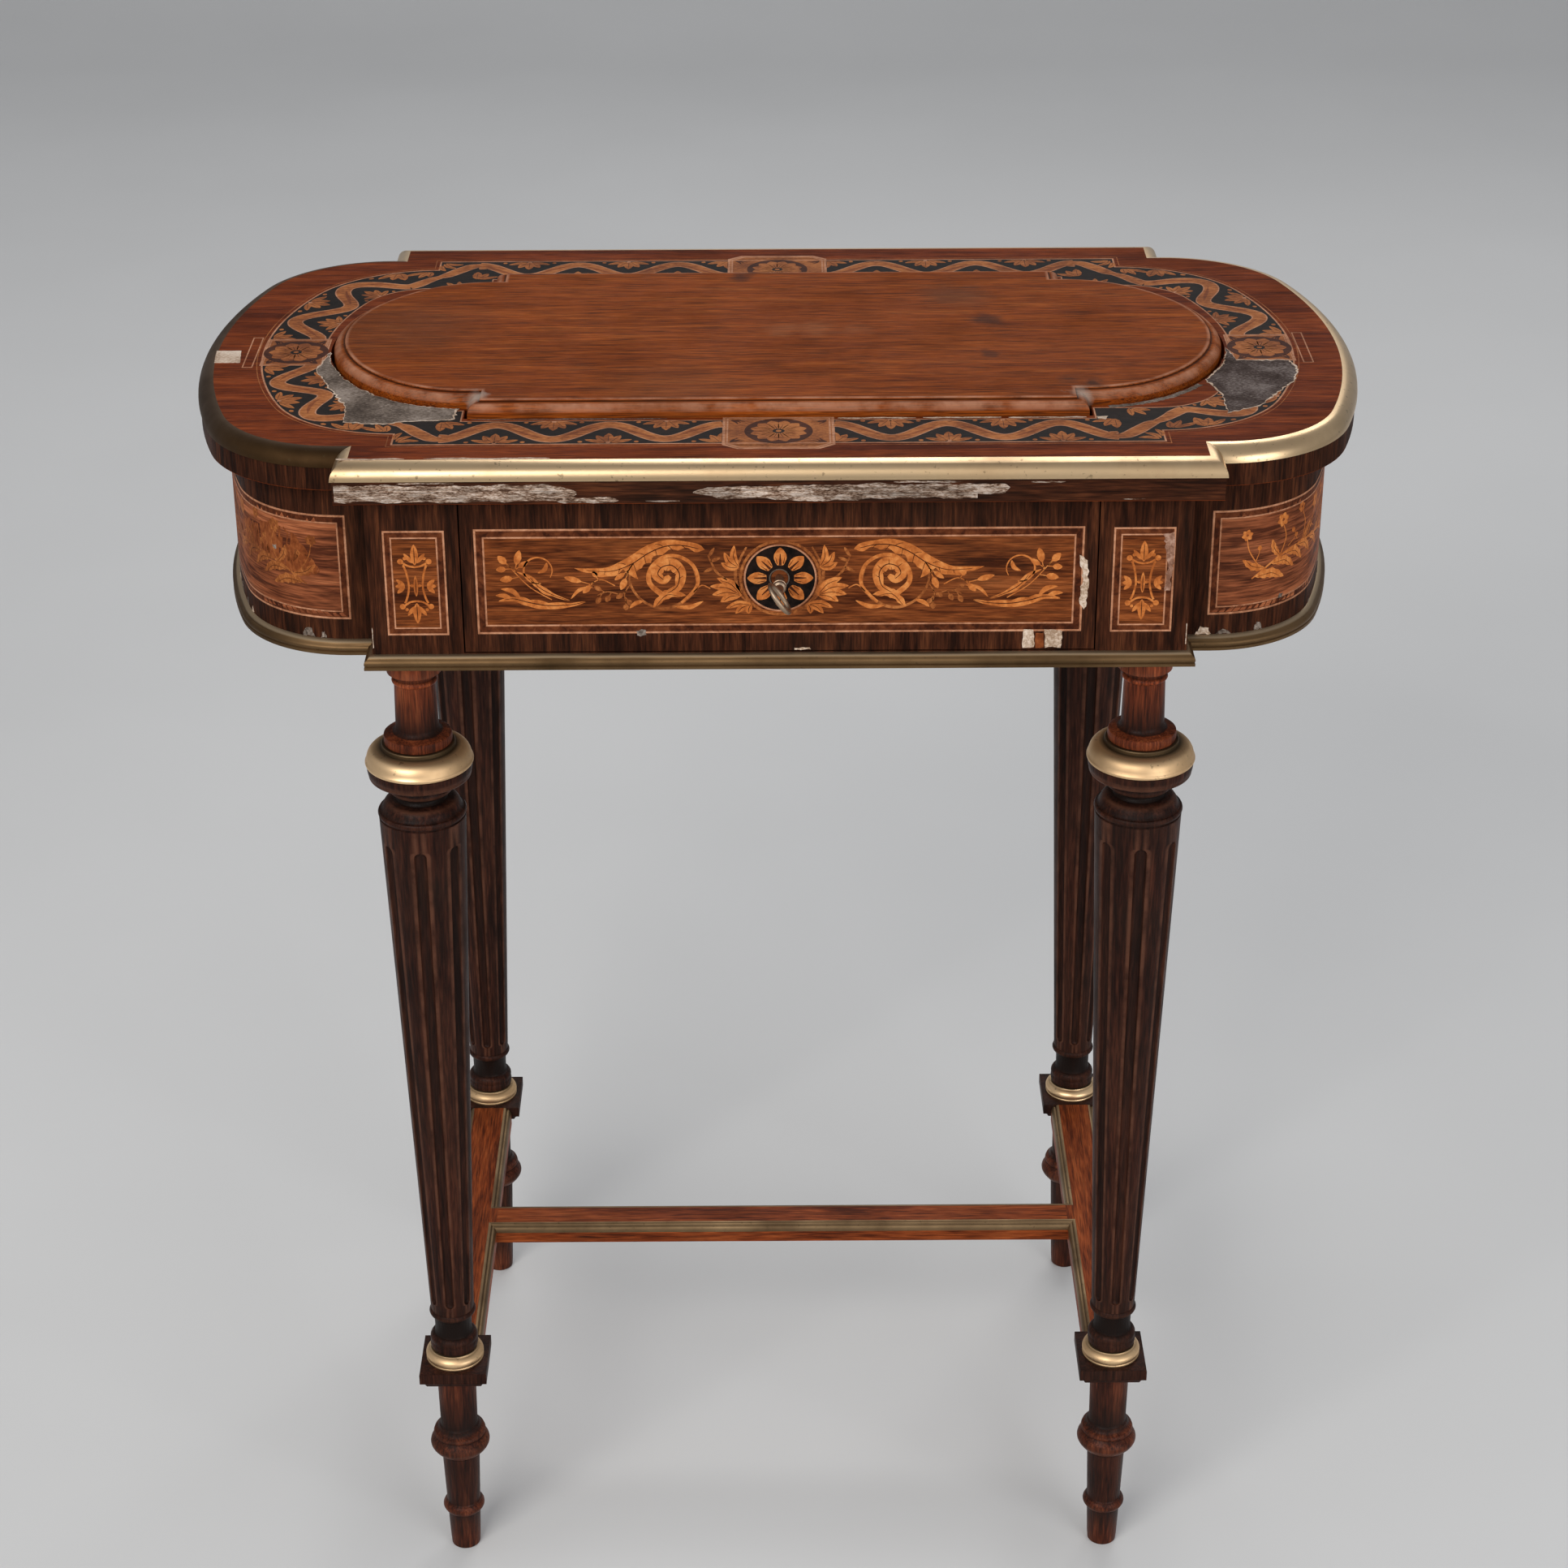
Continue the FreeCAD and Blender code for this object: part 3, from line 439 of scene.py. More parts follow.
paints = {
    "frieze": wood("rosewood_upright", rosewood_dark, "z", 110, 12, seed=1.3),
    "panel": wood("rosewood_lengthwise", rosewood_red, "x", 80, 10, seed=4.1),
    "edge_band": wood("rosewood_edge", rosewood_dark, "x", 110, 12, seed=11.3),
    "streaked": wood("bare_streaked", pale_wood, "x", 420, 4, 2400, rough=0.85, seed=12.1, pores=0.35,
                     grime=0.6, bump=1),
    "panel_end": wood("rosewood_round", end_wood, "xy", 80, 10, seed=6.3),
    "top": wood("rosewood_top", veneer_top, "x", 70, 12, seed=2.6),
    # The lid's arris and moulding are painted lighter, partly wear and partly a painted highlight; its
    # lower edge and quirk darker, painted shade.
    "lid": wood("walnut_lid", walnut_warm, "x", 120, 15, 2000, seed=8.4, pores=0.6, grime=0.25,
                highlight_and_wear_colour=edge_wear_and_highlight, mend=lid_marks),
    "lid_edge": wood("walnut_moulding", walnut_warm, "x", 60, 13, seed=3.4, pores=0.3),
    # On the legs, necks and feet, beads and flute edges are painted lighter, partly wear and partly a
    # painted highlight, and hollows darker, partly dirt and partly painted shade.
    "leg": wood("stained_turning", stained, "z", 90, 12, rough=0.38, seed=5.5, shine=0.07, highlight_and_wear_colour=wear_and_highlight),
    "turning": wood("turned_rosewood", neck_wood, "z", 90, 12, rough=0.38, seed=6.1, shine=0.07, highlight_and_wear_colour=wear_and_highlight),
    "foot": wood("turned_foot", foot_wood, "z", 90, 12, rough=0.36, seed=3.3, shine=0.09, highlight_and_wear_colour=wear_and_highlight),
    "rail": wood("stained_rail", turned_wood, "x", 90, 12, rough=0.38, seed=7.7, shine=0.05),
    "side_rail": wood("stained_side_rail", turned_wood, "y", 90, 12, rough=0.38, seed=9.1, shine=0.05),
    "carcase": wood("oak_carcase", raw, "x", 50, 12, rough=0.7, seed=2.2, grime=0.5),
    "brass": brass("brass_bright", seed=1),
    "brass_left": brass("brass_tarnished", dull=(0.04, 0.021, 0.009), bright=(0.11, 0.06, 0.025),
                        tarnish=0.7, rough=0.42, seed=5),
    "brass_low": brass("brass_moulding", bright=(0.19, 0.112, 0.052), dull=(0.06, 0.034, 0.015),
                       tarnish=0.6, rough=0.42, seed=9, dirt=(0.44, 0.33, 0.21)),
    "brass_rail": brass("brass_stretcher", bright=(0.3, 0.2, 0.105), dull=(0.08, 0.046, 0.024), tarnish=0.6,
                        rough=0.4, seed=13),
    "brass_round": brass("brass_collar", bright=(0.86, 0.6, 0.34), dull=(0.47, 0.305, 0.16), tarnish=0.5,
                         rough=0.4, seed=17),
    "bronze": brass("key_bronze", bright=(0.5, 0.38, 0.27), dull=(0.22, 0.145, 0.095), tarnish=0.5,
                    rough=0.36),
    "iron": brass("iron_aged", bright=(0.26, 0.2, 0.15), dull=(0.08, 0.06, 0.05), tarnish=0.6, rough=0.42),
    "orange": inlay("satinwood", tones((0.31, 0.085, 0.019), (0.47, 0.145, 0.034), (0.6, 0.225, 0.062))),
    "amber": inlay("burr_amber", tones((0.15, 0.042, 0.012), (0.27, 0.083, 0.022), (0.4, 0.14, 0.04)),
                   scale=420),
    "ribbon": inlay("shaded_maple", tones((0.17, 0.048, 0.013), (0.31, 0.098, 0.026),
                                          (0.43, 0.155, 0.045))),
    "red_band": inlay("cross_banding", tones((0.035, 0.009, 0.004), (0.085, 0.022, 0.008),
                                             (0.14, 0.04, 0.014))),
    "russet": inlay("padouk_russet", tones((0.12, 0.03, 0.009), (0.2, 0.052, 0.015), (0.28, 0.085, 0.026))),
    "string": inlay("box_string", tones((0.27, 0.112, 0.056), (0.4, 0.18, 0.096), (0.5, 0.245, 0.14))),
    "ebony": inlay("ebony", tones((0.004, 0.003, 0.0025), (0.016, 0.009, 0.007))),
    "vein": inlay("scorched_line", tones((0.035, 0.009, 0.004), (0.075, 0.02, 0.008))),
    "bare": inlay("bare_ground", tones((0.06, 0.045, 0.036), (0.155, 0.12, 0.096), (0.31, 0.255, 0.215)),
                  scale=520, rough=0.85, bump=0.9),
    "rubbed": inlay("rubbed_veneer", tones((0.17, 0.08, 0.05), (0.29, 0.155, 0.105), (0.43, 0.27, 0.2)),
                    scale=520, rough=0.8, bump=0.7),
    "dark_bare": inlay("bare_ground_dark", tones((0.03, 0.02, 0.016), (0.07, 0.05, 0.044),
                                                 (0.2, 0.165, 0.15)),
                       scale=520, rough=0.8, bump=0.9),
    "pale_bare": inlay("bare_ground_pale", tones((0.3, 0.2, 0.13), (0.55, 0.42, 0.32), (0.68, 0.57, 0.47)),
                       scale=620, rough=0.85, bump=0.9),
}

mirror = Paint("mirror_silvered", roughness=0.03, metallic=1)
foxing = mirror.ramp(mirror.noise(mirror.place, 30, 6, 0.7), [(0.58, 0), (0.72, 1)])
paints["mirror"] = mirror.finish(mirror.mix(foxing, (0.8, 0.82, 0.82), (0.32, 0.28, 0.22)),
                                 mirror.math("MULTIPLY", foxing, 0.3))

# Levels and widths, as in the CAD model.
top = 740
edge = 9
frieze_top, frieze_foot = 718, 617.5
ledge = 730
lid_gap, frieze_inset, well_x, well_y = 2, 15, 200, 80
leg_x, leg_y = 200.5, 149
corners = [(-leg_x, -leg_y), (leg_x, -leg_y), (-leg_x, leg_y), (leg_x, leg_y)]
sides = ("front", "back", "left", "right")
hands = ((1, "right"), (-1, "left"))


# The top.
def well(z):
    """The well's oblong, with a point for each point of the lid's outline."""
    return [(max(-well_x, min(well_x, x)), max(-well_y, min(well_y, y)), z)
            for x, y in lid_plan.outline(-lid_gap)]


def cut(piece, *pockets):
    """Sinks pockets, given as shells, into a piece."""
    for pocket in pockets:
        tool = placed("pocket", formed("pocket", pocket.verts, pocket.faces))
        change = piece.modifiers.new("pocket", "BOOLEAN")
        change.operation, change.solver, change.object = "DIFFERENCE", "EXACT", tool
        bpy.context.view_layer.update()
        whole = bpy.data.meshes.new_from_object(piece.evaluated_get(bpy.context.evaluated_depsgraph_get()))
        piece.modifiers.clear()
        piece.data = whole
        bpy.data.objects.remove(tool)
    softened(piece.data)


def hinge_pockets(near, far):
    """Half-round pockets for the two barrels, and slots for the leaves between y `near` and `far`."""
    barrel, leaf, hinges = 18.3, 18, (105, -105)
    ring = arc((114, 741.6), 3, 0, 2 * math.pi, 24)[:-1]
    return [Shell().loft([[(x + way * barrel, b, c) for b, c in ring] for way in (-1, 1)], caps=True)
            for x in hinges] + [
        Shell().box((x - leaf, near, 732.6), (x + leaf, far, 742)) for x in hinges]


board = Shell().loft([well(frieze_top), well(ledge), lid_plan.ring(-lid_gap, ledge),
                      lid_plan.ring(-lid_gap, top), border_plan.ring(0, top), top_plan.ring(edge, top),
                      top_plan.ring(edge, top - edge), top_plan.ring(1, top - edge),
                      top_plan.ring(1, frieze_top)], back=True)
board = board.made("top_veneered", "table", "veneered_top", paints["top"], stands_for=["top_board"],
                   sharp=30)
strike_recess = Shell().box((-23, -160, 717), (23, -146, 719.2))
cut(board, *hinge_pockets(114.1, 115.2), strike_recess)

edge_profile = [(edge * (1 - math.cos(math.radians(a))), top - edge + edge * math.sin(math.radians(a)))
                for a in range(0, 91, 10)] + [(edge, top - edge)]
for side in sides:
    shell = Shell().across([quarter(top_plan, side, inset, z) for inset, z in edge_profile])
    shell.made(f"top_edge_brass_{side}", "table", "brass", paints["brass_left" if side == "left"
                                                                  else "brass"],
               stands_for=["top_edge"] if side == "front" else [], sharp=40)

moulding_profile = [(10.4, 617.5), (10.4, 619), (11, 619.4), (10.45, 620.4), (10.4, 621.4), (10.9, 622.4),
                    (12, 623.1), (12.2, 623.5), (12.9, 624.3), (14, 625), (15, 625.3), (15, 617.5)]
dust = [0.5, 0.6, 0.75, 0.5, 0.45, 0.6, 0.8, 0.5, 0.12, 0.04, 0.02, 0.5]
for side in sides:
    rings = [quarter(top_plan, side, inset, z) for inset, z in moulding_profile]
    shell = Shell().across(rings, use=dust * len(rings[0]))
    shell.made(f"frieze_brass_{side}", "table", "brass", paints["brass_low"],
               stands_for=["frieze_moulding"] if side == "front" else [], sharp=40)

# The bowed ends of the frieze: a true curve outside, three flats inside.
inner_x, inner_y = 294, 130
slope = top_plan.shoulder - frieze_inset
inside = [(238, -inner_y), (inner_x, slope - inner_y), (inner_x, inner_y - slope), (238, inner_y)]
outline = top_plan.right(frieze_inset)[1:-1] + [(220, inner_y)] + inside[::-1] + [(220, -inner_y)]
for sign, name in hands:
    shell = Shell().loft([[(sign * x, y, z) for x, y in outline] for z in (frieze_foot, frieze_top)],
                         caps=True)
    shell.made(f"frieze_end_{name}", "table", "rosewood_veneer", paints["frieze"],
               stands_for=[f"end_apron_{name}"])

# The lid.
lid_profile = [(0.6, 730.3), (0, 731.5), (0, 741.8), (0.25, 743), (0.9, 744.3), (1.9, 745.3), (3.2, 746.1),
               (4.6, 746.6), (5.6, 746.7), (6.3, 746.9), (6.5, 747.6), (6.8, 747.9), (7.4, 748), (9, 748),
               (26, 748)]
# Values of `use` across the lid's edge: the round of the moulding and the arris of the step are lighter,
# partly wear and partly a painted highlight; the lower edge by the gap and the quirk at the foot of the
# step are darker, painted shade.
lid_wear_and_light = [0.2, 0.3, 0.5, 0.74, 0.84, 0.92, 0.95, 0.6, 0.15, 0.05, 0.85, 1, 0.9, 0.5, 0.5]
rings = [lid_plan.ring(inset, z) for inset, z in lid_profile]
lid = Shell().loft(rings, caps=True, use=[value for value in lid_wear_and_light for _ in rings[0]])
lid = lid.made("lid_walnut", "lid", "walnut", paints["lid"], stands_for=["lid_panel"], sharp=30)
cut(lid, *hinge_pockets(112.8, 113.9))

# The legs.
shaft_top, shaft_foot, shaft_wide, shaft_narrow = 518, 181, 24.3, 12.9
flute_high, flute_low, flute_wide, flute_narrow = 505, 187.5, 7.4, 5.2
flutes, flute_points, land_points = 7, 15, 9
head_profile = round_profile([
    (15, 617.5, 0), (15, 607, -1.2), (11.4, 603.6, 0), (12.2, 603, 0.5), (12.2, 600.6, 0), (11.4, 600, 0),
    (12, 574, 0), (12, 573, -0.8), (15.4, 569.9, 0), (18.2, 569.5, 0), (18.8, 569, 0.3), (18.8, 564, 0),
    (18.2, 563.5, 0)])
disc_profile = round_profile([
    (28.6, 551, 0), (29.2, 550.4, 0.3), (28.6, 545, 0.6), (27, 542.5, 0), (24, 542.2, 0),
    (22.5, 541.6, -1.6), (17.6, 538, 0), (17.5, 537.6, 0.6), (17.5, 534.2, 0), (16.6, 534, 0),
    (14.4, 533.4, -0.6), (13.6, 530.4, 0), (14.6, 529.3, 0), (15.4, 529.2, 1.7), (22.2, 524, 0),
    (23, 522.6, 0), (23.4, 522.4, 0), (24.2, 522.3, 0.5), (24.4, 519.4, 0), (23.6, 519, 0),
    (23.6, 518.2, 0), (24.3, 517.6, 0)])
ankle_profile = round_profile([
    (12.9, 181, 0), (13.2, 180.8, 0.75), (13.2, 177.2, 0), (12.2, 177, 0), (11.2, 175.6, 0), (11, 165, 0),
    (11.6, 163.4, 0), (12.6, 163, 0.9), (14, 158, 0.4), (14, 153.2, 0), (12, 152.6, 0)])


def shaft_ring(level):
    """One ring of the fluted shaft: the flutes narrow with the taper and end in half rounds."""
    share = (shaft_top - level) / (shaft_top - shaft_foot)
    radius = shaft_wide + share * (shaft_narrow - shaft_wide)
    width = flute_wide + share * (flute_narrow - flute_wide)
    half = width / 2
    reach = max(0, min(flute_high - level, level - flute_low, half))
    mouth = math.sqrt(half**2 - (half - reach)**2) if reach < half else half
    points = []
    sector = 2 * math.pi / flutes
    edge_turn = mouth / radius
    for flute in range(flutes):
        middle = -math.pi / 2 + flute * sector
        for i in range(flute_points):
            t = -1 + 2 * i / (flute_points - 1)
            depth = 0.36 * width * (mouth / half) * math.sqrt(max(0, 1 - t * t))
            points.append((radius - depth, middle + t * edge_turn))
        land = sector - 2 * edge_turn
        for i in range(1, land_points):
            points.append((radius, middle + edge_turn + land * i / land_points))
    return points


def shaft_levels():
    ends = [0, 0.03, 0.12, 0.3, 0.6, 1, 1.5, 2.1, 2.8, 3.7]
    steps = 28
    high, low = flute_high - ends[-1], flute_low + ends[-1]
    return ([shaft_top] + [flute_high - e for e in ends] + [high + (low - high) * i / steps
                                                            for i in range(1, steps)]
            + [flute_low + e for e in reversed(ends)] + [shaft_foot])


def shaft_use(outline):
    """Flute hollows are darker with their depth, painted shade, and the flutes' edges lighter, partly wear
    and partly a painted highlight.
    """
    outside = max(r for r, _ in outline)
    edges = (0, flute_points - 1, flute_points, flute_points + land_points - 2)
    return [0.95 if index % (flute_points + land_points - 1) in edges else max(0, 0.5 - (outside - r) * 0.1)
            for index, (r, _) in enumerate(outline)]


shaft_turns = [a for _, a in shaft_ring(400)]
for (x, y), name in zip(corners, ("front_left", "front_right", "back_left", "back_right")):
    even = turns(64)
    # The head's beads are painted lighter and its hollows darker, partly wear and dirt and partly painted
    # highlight and shade; below 570.5 mm it is darker throughout.
    wear = [value if z > 570.5 else 0.24 for value, (_, z) in zip(wear_dirt_and_light(head_profile), head_profile)]
    rings = [ring_at(x, y, [(r, a) for a in even], z) for r, z in head_profile]
    shell = Shell().loft(rings, caps=True, use=[value for value in wear for _ in even])
    shell.made(f"leg_neck_{name}", "table", "stained_wood", paints["turning"], sharp=38)
    rings, use = [], []
    for profile in (disc_profile, None, ankle_profile):
        if profile:
            rings += [ring_at(x, y, [(r, a) for a in shaft_turns], z) for r, z in profile]
            use += [value for value in wear_dirt_and_light(profile) for _ in shaft_turns]
        else:
            for level in shaft_levels():
                rings.append(ring_at(x, y, shaft_ring(level), level))
                use += shaft_use(shaft_ring(level))
    shell = Shell().loft(rings, caps=True, use=use)
    shell.made(f"leg_fluted_{name}", "table", "stained_wood", paints["leg"], stands_for=[f"leg_{name}"],
               sharp=38)

collar_profile = round_profile([
    (12, 563.5, 0), (20.2, 563.5, 0), (20.6, 563, 0), (20.6, 561.6, 0), (21.2, 561.2, 2.6),
    (29.6, 553.6, 0.4), (29.9, 551.4, 0), (29.2, 551, 0), (12, 551, 0)])
turned("leg_collars_brass", collar_profile, "table", "brass", paints["brass_round"], ["leg_collars"], 96)
ring_profile = round_profile([
    (9, 152.5, 0), (14.6, 152.5, 0), (14.9, 152, 0), (14.9, 151.2, 0), (15.2, 151, 1.2), (17.2, 145.6, 0.2),
    (17.3, 144.2, 0), (9, 144, 0)])
turned("ankle_rings_brass", ring_profile, "table", "brass", paints["brass_round"], ["ankle_rings"], 72)
foot_profile = round_profile([
    (11.8, 132.3, 0), (11.8, 130, 0), (11.3, 94.5, 0), (11.9, 93.4, 0), (12.4, 93, -0.6), (15.4, 89.4, 0),
    (15.6, 88.6, 0.4), (15.6, 86.6, 0), (15, 86.2, 0), (14.8, 85.8, 3.2), (15.2, 74.6, 0), (14.2, 74.2, 0),
    (13, 73.6, -0.7), (11.5, 71.4, 0), (11.5, 70.6, 0), (10.3, 35, 0), (10.9, 34, 0), (11.2, 33.9, 1.6),
    (11.2, 27.4, 0), (10.3, 27, 0), (10, 26, 0), (9.2, 6, 0), (8.8, 0.6, 0), (8.2, 0, 0)])
# The feet's beads are painted lighter and their hollows darker, partly wear and dirt and partly painted
# highlight and shade.
turned("feet_turned", foot_profile, "table", "stained_wood", paints["foot"], ["feet"], 72)

# Plinth blocks and stretcher.
block_profile = [(15.6, 132.3), (16.4, 132.5), (16.8, 133.2), (17.4, 134.6), (18.6, 135.9), (19.7, 136.5),
                 (20, 136.7), (20.3, 137), (20.3, 143.4), (20.1, 143.8), (19.7, 144)]
shell = Shell()
for x, y in corners:
    shell.loft([[(x - half, y - half, z), (x + half, y - half, z), (x + half, y + half, z),
                 (x - half, y + half, z)]
                for half, z in block_profile], caps=True)
shell.made("plinth_blocks_cut", "table", "stained_wood", paints["leg"], stands_for=["plinth_blocks"])

trim_profile = [(0, 139), (0.1, 140.2), (0.5, 141.4), (1.1, 142.3), (1.7, 142.8), (2.3, 142.9),
                (2.5, 142.5), (2.8, 142.5), (3, 143.1), (3.4, 143.6), (4, 143.9), (5, 144), (5, 139)]


def trim(name, *lengths):
    """Quarter rounds along rails' top edges. In each, `out` points away from the rail, and the cuts are
    how far each end runs on per unit of depth into the rail."""
    shell = Shell()
    for start, end, out, cut_start, cut_end in lengths:
        (x0, y0), (x1, y1) = start, end
        length = math.hypot(x1 - x0, y1 - y0)
        dx, dy = (x1 - x0) / length, (y1 - y0) / length
        shell.loft([[(x - out[0] * depth + dx * run * depth, y - out[1] * depth + dy * run * depth, z)
                     for depth, z in trim_profile] for (x, y),
                    run in ((start, -cut_start), (end, cut_end))], caps=True)
    shell.made(f"stretcher_brass_{name}", "table", "brass", paints["brass_rail"],
               stands_for=[("side_trim_" if name in ("right", "left") else "cross_trim_") + name], sharp=40)


side_half, cross_half, block_half = 15, 13, 20.3
wall, outer_wall = leg_x - side_half, leg_x + side_half
rail_end = leg_y - block_half
for sign, name in hands:
    trim(name, ((sign * outer_wall, -rail_end), (sign * outer_wall, rail_end), (sign, 0), 0, 0),
         ((sign * wall, -rail_end), (sign * wall, -cross_half), (-sign, 0), 0, 1),
         ((sign * wall, cross_half), (sign * wall, rail_end), (-sign, 0), 1, 0))
for sign, name in ((-1, "front"), (1, "back")):
    trim(name, ((-wall, sign * cross_half), (wall, sign * cross_half), (0, sign), 1, 1))

# Marquetry.
front_y = top_plan.depth - frieze_inset
panel_z = 669
sunk = -0.2


def smooth(points, steps=6):
    """A curve that passes through the points."""
    if len(points) < 3:
        return list(points)
    made = []
    ends = [points[0]] + list(points) + [points[-1]]
    for a, b, c, d in zip(ends, ends[1:], ends[2:], ends[3:]):
        for i in range(steps):
            t = i / steps
            made.append(tuple(0.5 * (2 * q + (r - p) * t + (2 * p - 5 * q + 4 * r - u) * t**2
                                     + (3 * q - p - 3 * r + u) * t**3) for p, q, r, u in zip(a, b, c, d)))
    return made + [points[-1]]


def between(a, b, share=0.5, rise=(0, 0)):
    """A point on the way from a to b, moved by `rise`."""
    return tuple(p + (q - p) * share + r for p, q, r in zip(a, b, rise))


class Track:
    """A line in plan, followed by its length, with its outward normals."""

    def __init__(self, points):
        self.points = points
        self.marks = [0]
        for a, b in zip(points, points[1:]):
            self.marks.append(self.marks[-1] + math.dist(a, b))
        self.length = self.marks[-1]

    def spot(self, s):
        index = max(1, next((i for i, mark in enumerate(self.marks) if mark >= s), len(self.marks) - 1))
        low, high = self.marks[index - 1:index + 1]
        return between(self.points[index - 1], self.points[index], (s - low) / (high - low))

    def at(self, s, out=0):
        reach = 1.5
        x, y = self.spot(s)
        (x0, y0), (x1, y1) = self.spot(max(0, s - reach)), self.spot(min(self.length, s + reach))
        length = math.hypot(x1 - x0, y1 - y0)
        return x + (y1 - y0) / length * out, y - (x1 - x0) / length * out


class Inlays:
    """Thin closed plates laid in a surface, one shell for each veneer. `place` turns the surface's own
    two coordinates and a lift above it into a point; `flip` mirrors the first coordinate, `move` shifts
    both, and `bold` widens strokes."""

    def __init__(self, label, body, slot, place):
        self.label, self.body, self.slot, self.place = label, body, slot, place
        self.shells, self.flip, self.move, self.bold, self.layer = {}, 1, (0, 0), 1, 0

    def point(self, p, lift):
        return self.place(self.flip * p[0] + self.move[0], p[1] + self.move[1], lift)

    def loft(self, veneer, rings, **how):
        """Adds a loft whose rings are (surface point, lift) pairs to the veneer's shell."""
        self.shells.setdefault(veneer, Shell()).loft([[self.point(p, h) for p, h in ring]
                                                      for ring in rings], **how)

    def plate(self, veneer, outline, lift=0.05):
        self.loft(veneer, [[(p, h) for p in outline] for h in (sunk, lift)], caps=True)

    def ribbon(self, veneer, lefts, rights, lift):
        rings = []
        for a, b in zip(lefts, rights):
            middle = ((a[0] + b[0]) / 2, (a[1] + b[1]) / 2)
            rings.append([(a, sunk), (a, lift), (middle, lift), (b, lift), (b, sunk), (middle, sunk)])
        self.loft(veneer, rings, caps=True)

    def stroke(self, veneer, points, widths, lift=0.05, steps=6, lobes=0, depth=0, sides=(1, 1)):
        """A line of varying width through the points. `lobes` scallops its two edges to a depth."""
        curve = smooth(points, steps)
        count = len(curve)
        lefts, rights = [], []
        for i, (x, y) in enumerate(curve):
            before, after = curve[max(0, i - 1)], curve[min(count - 1, i + 1)]
            dx, dy = after[0] - before[0], after[1] - before[1]
            length = math.hypot(dx, dy) or 1
            t = i / (count - 1)
            place = t * (len(widths) - 1)
            index = min(int(place), len(widths) - 2)
            half = self.bold * (widths[index] + (widths[index + 1] - widths[index]) * (place - index)) / 2
            wave = depth * half * (1 - abs(math.sin(math.pi * lobes * t))) if lobes else 0
            a, b = half - wave * sides[0], half - wave * sides[1]
            lefts.append((x - dy / length * a, y + dx / length * a))
            rights.append((x + dy / length * b, y - dx / length * b))
        self.ribbon(veneer, lefts, rights, lift)

    def leaf(self, veneer, start, end, width, bend=0, lift=0.05, vein=None, lobes=0, depth=0):
        """A pointed leaf from start to end, bent sideways by `bend`. Each lies a little above the last,
        so that leaves which cross share no face."""
        self.layer = (self.layer + 1) % 7
        lift += 0.004 * self.layer
        dx, dy = end[0] - start[0], end[1] - start[1]

        def bent(share):
            return (start[0] + end[0]) / 2 - dy * bend * share, (start[1] + end[1]) / 2 + dx * bend * share
        widths = [0.3, width * 0.8, width, width * 0.7, 0.2]
        self.stroke(veneer, [start, bent(1), end], widths, lift, 8, lobes, depth)
        if vein:
            inner = [between(start, end, 0.08), bent(0.95), between(start, end, 0.85)]
            self.stroke(vein, inner, [0.2, 0.35, 0.15], lift + 0.03, 4)

    def leaves(self, veneer, rows, **how):
        for start, end, width, *bend in rows:
            self.leaf(veneer, start, end, width, *bend, **how)

    def disc(self, veneer, centre, radius, lift=0.05, count=40, inner=0):
        outer = [polar(centre, radius, a) for a in turns(count)]
        if not inner:
            return self.plate(veneer, outer, lift)
        return self.border(veneer, outer, [polar(centre, inner, a) for a in turns(count)], lift)

    def border(self, veneer, outer, hole, lift):
        lines = ((outer, sunk), (outer, lift), (hole, lift), (hole, sunk))
        self.loft(veneer, [[(p, h) for p in line] for line, h in lines], back=True)

    def frame(self, veneer, low, high, width, lift=0.05, step=math.inf):
        """A string line round an oblong, cut into short lengths where the surface is curved."""
        (x0, y0), (x1, y1) = low, high
        outer = self.walk([(x0, y0), (x1, y0), (x1, y1), (x0, y1)], step)
        hole = [(x0 + width + (x - x0) * (x1 - x0 - 2 * width) / (x1 - x0),
                 y0 + width + (y - y0) * (y1 - y0 - 2 * width) / (y1 - y0)) for x, y in outer]
        self.border(veneer, outer, hole, lift)

    def walk(self, points, step):
        made = []
        for a, b in zip(points, points[1:] + points[:1]):
            count = max(1, math.ceil(math.dist(a, b) / step))
            made += [(a[0] + (b[0] - a[0]) * i / count, a[1] + (b[1] - a[1]) * i / count)
                     for i in range(count)]
        return made

    def field(self, veneer, low, high, lift=0.03, step=4):
        (x0, y0), (x1, y1) = low, high
        count = max(1, math.ceil((x1 - x0) / step))
        across = [x0 + (x1 - x0) * i / count for i in range(count + 1)]
        self.ribbon(veneer, [(x, y0) for x in across], [(x, y1) for x in across], lift)

    def ragged(self, veneer, points, rough=1.2, lift=0.1, step=2.2, rim=None):
        """A loss: an outline broken up at random, with a paler rim of torn veneer round it."""
        line = self.walk(points, step)
        middle = [sum(p[i] for p in line) / len(line) for i in (0, 1)]
        line = [(x + chance.uniform(-rough, rough), y + chance.uniform(-rough, rough)) for x, y in line]
        self.plate(veneer, line, lift)
        if rim:
            inner = []
            for x, y in line:
                away = math.hypot(x - middle[0], y - middle[1]) or 1
                cut_in = chance.uniform(0.3, 1.7) / away
                inner.append((x + (middle[0] - x) * cut_in, y + (middle[1] - y) * cut_in))
            self.border(rim, line, inner, lift + 0.05)

    def sprig(self, stem, buds, veneer="orange"):
        """A thin stem with a pointed bud at the end of each of its twigs."""
        thick = 0.55
        self.stroke(veneer, stem, [thick, thick * 0.7])
        for start, tip, width in buds:
            neck = between(start, tip, 0.35)
            self.stroke(veneer, [start, neck], [thick * 0.8, thick * 0.8])
            self.leaf(veneer, neck, tip, width * 1.4)

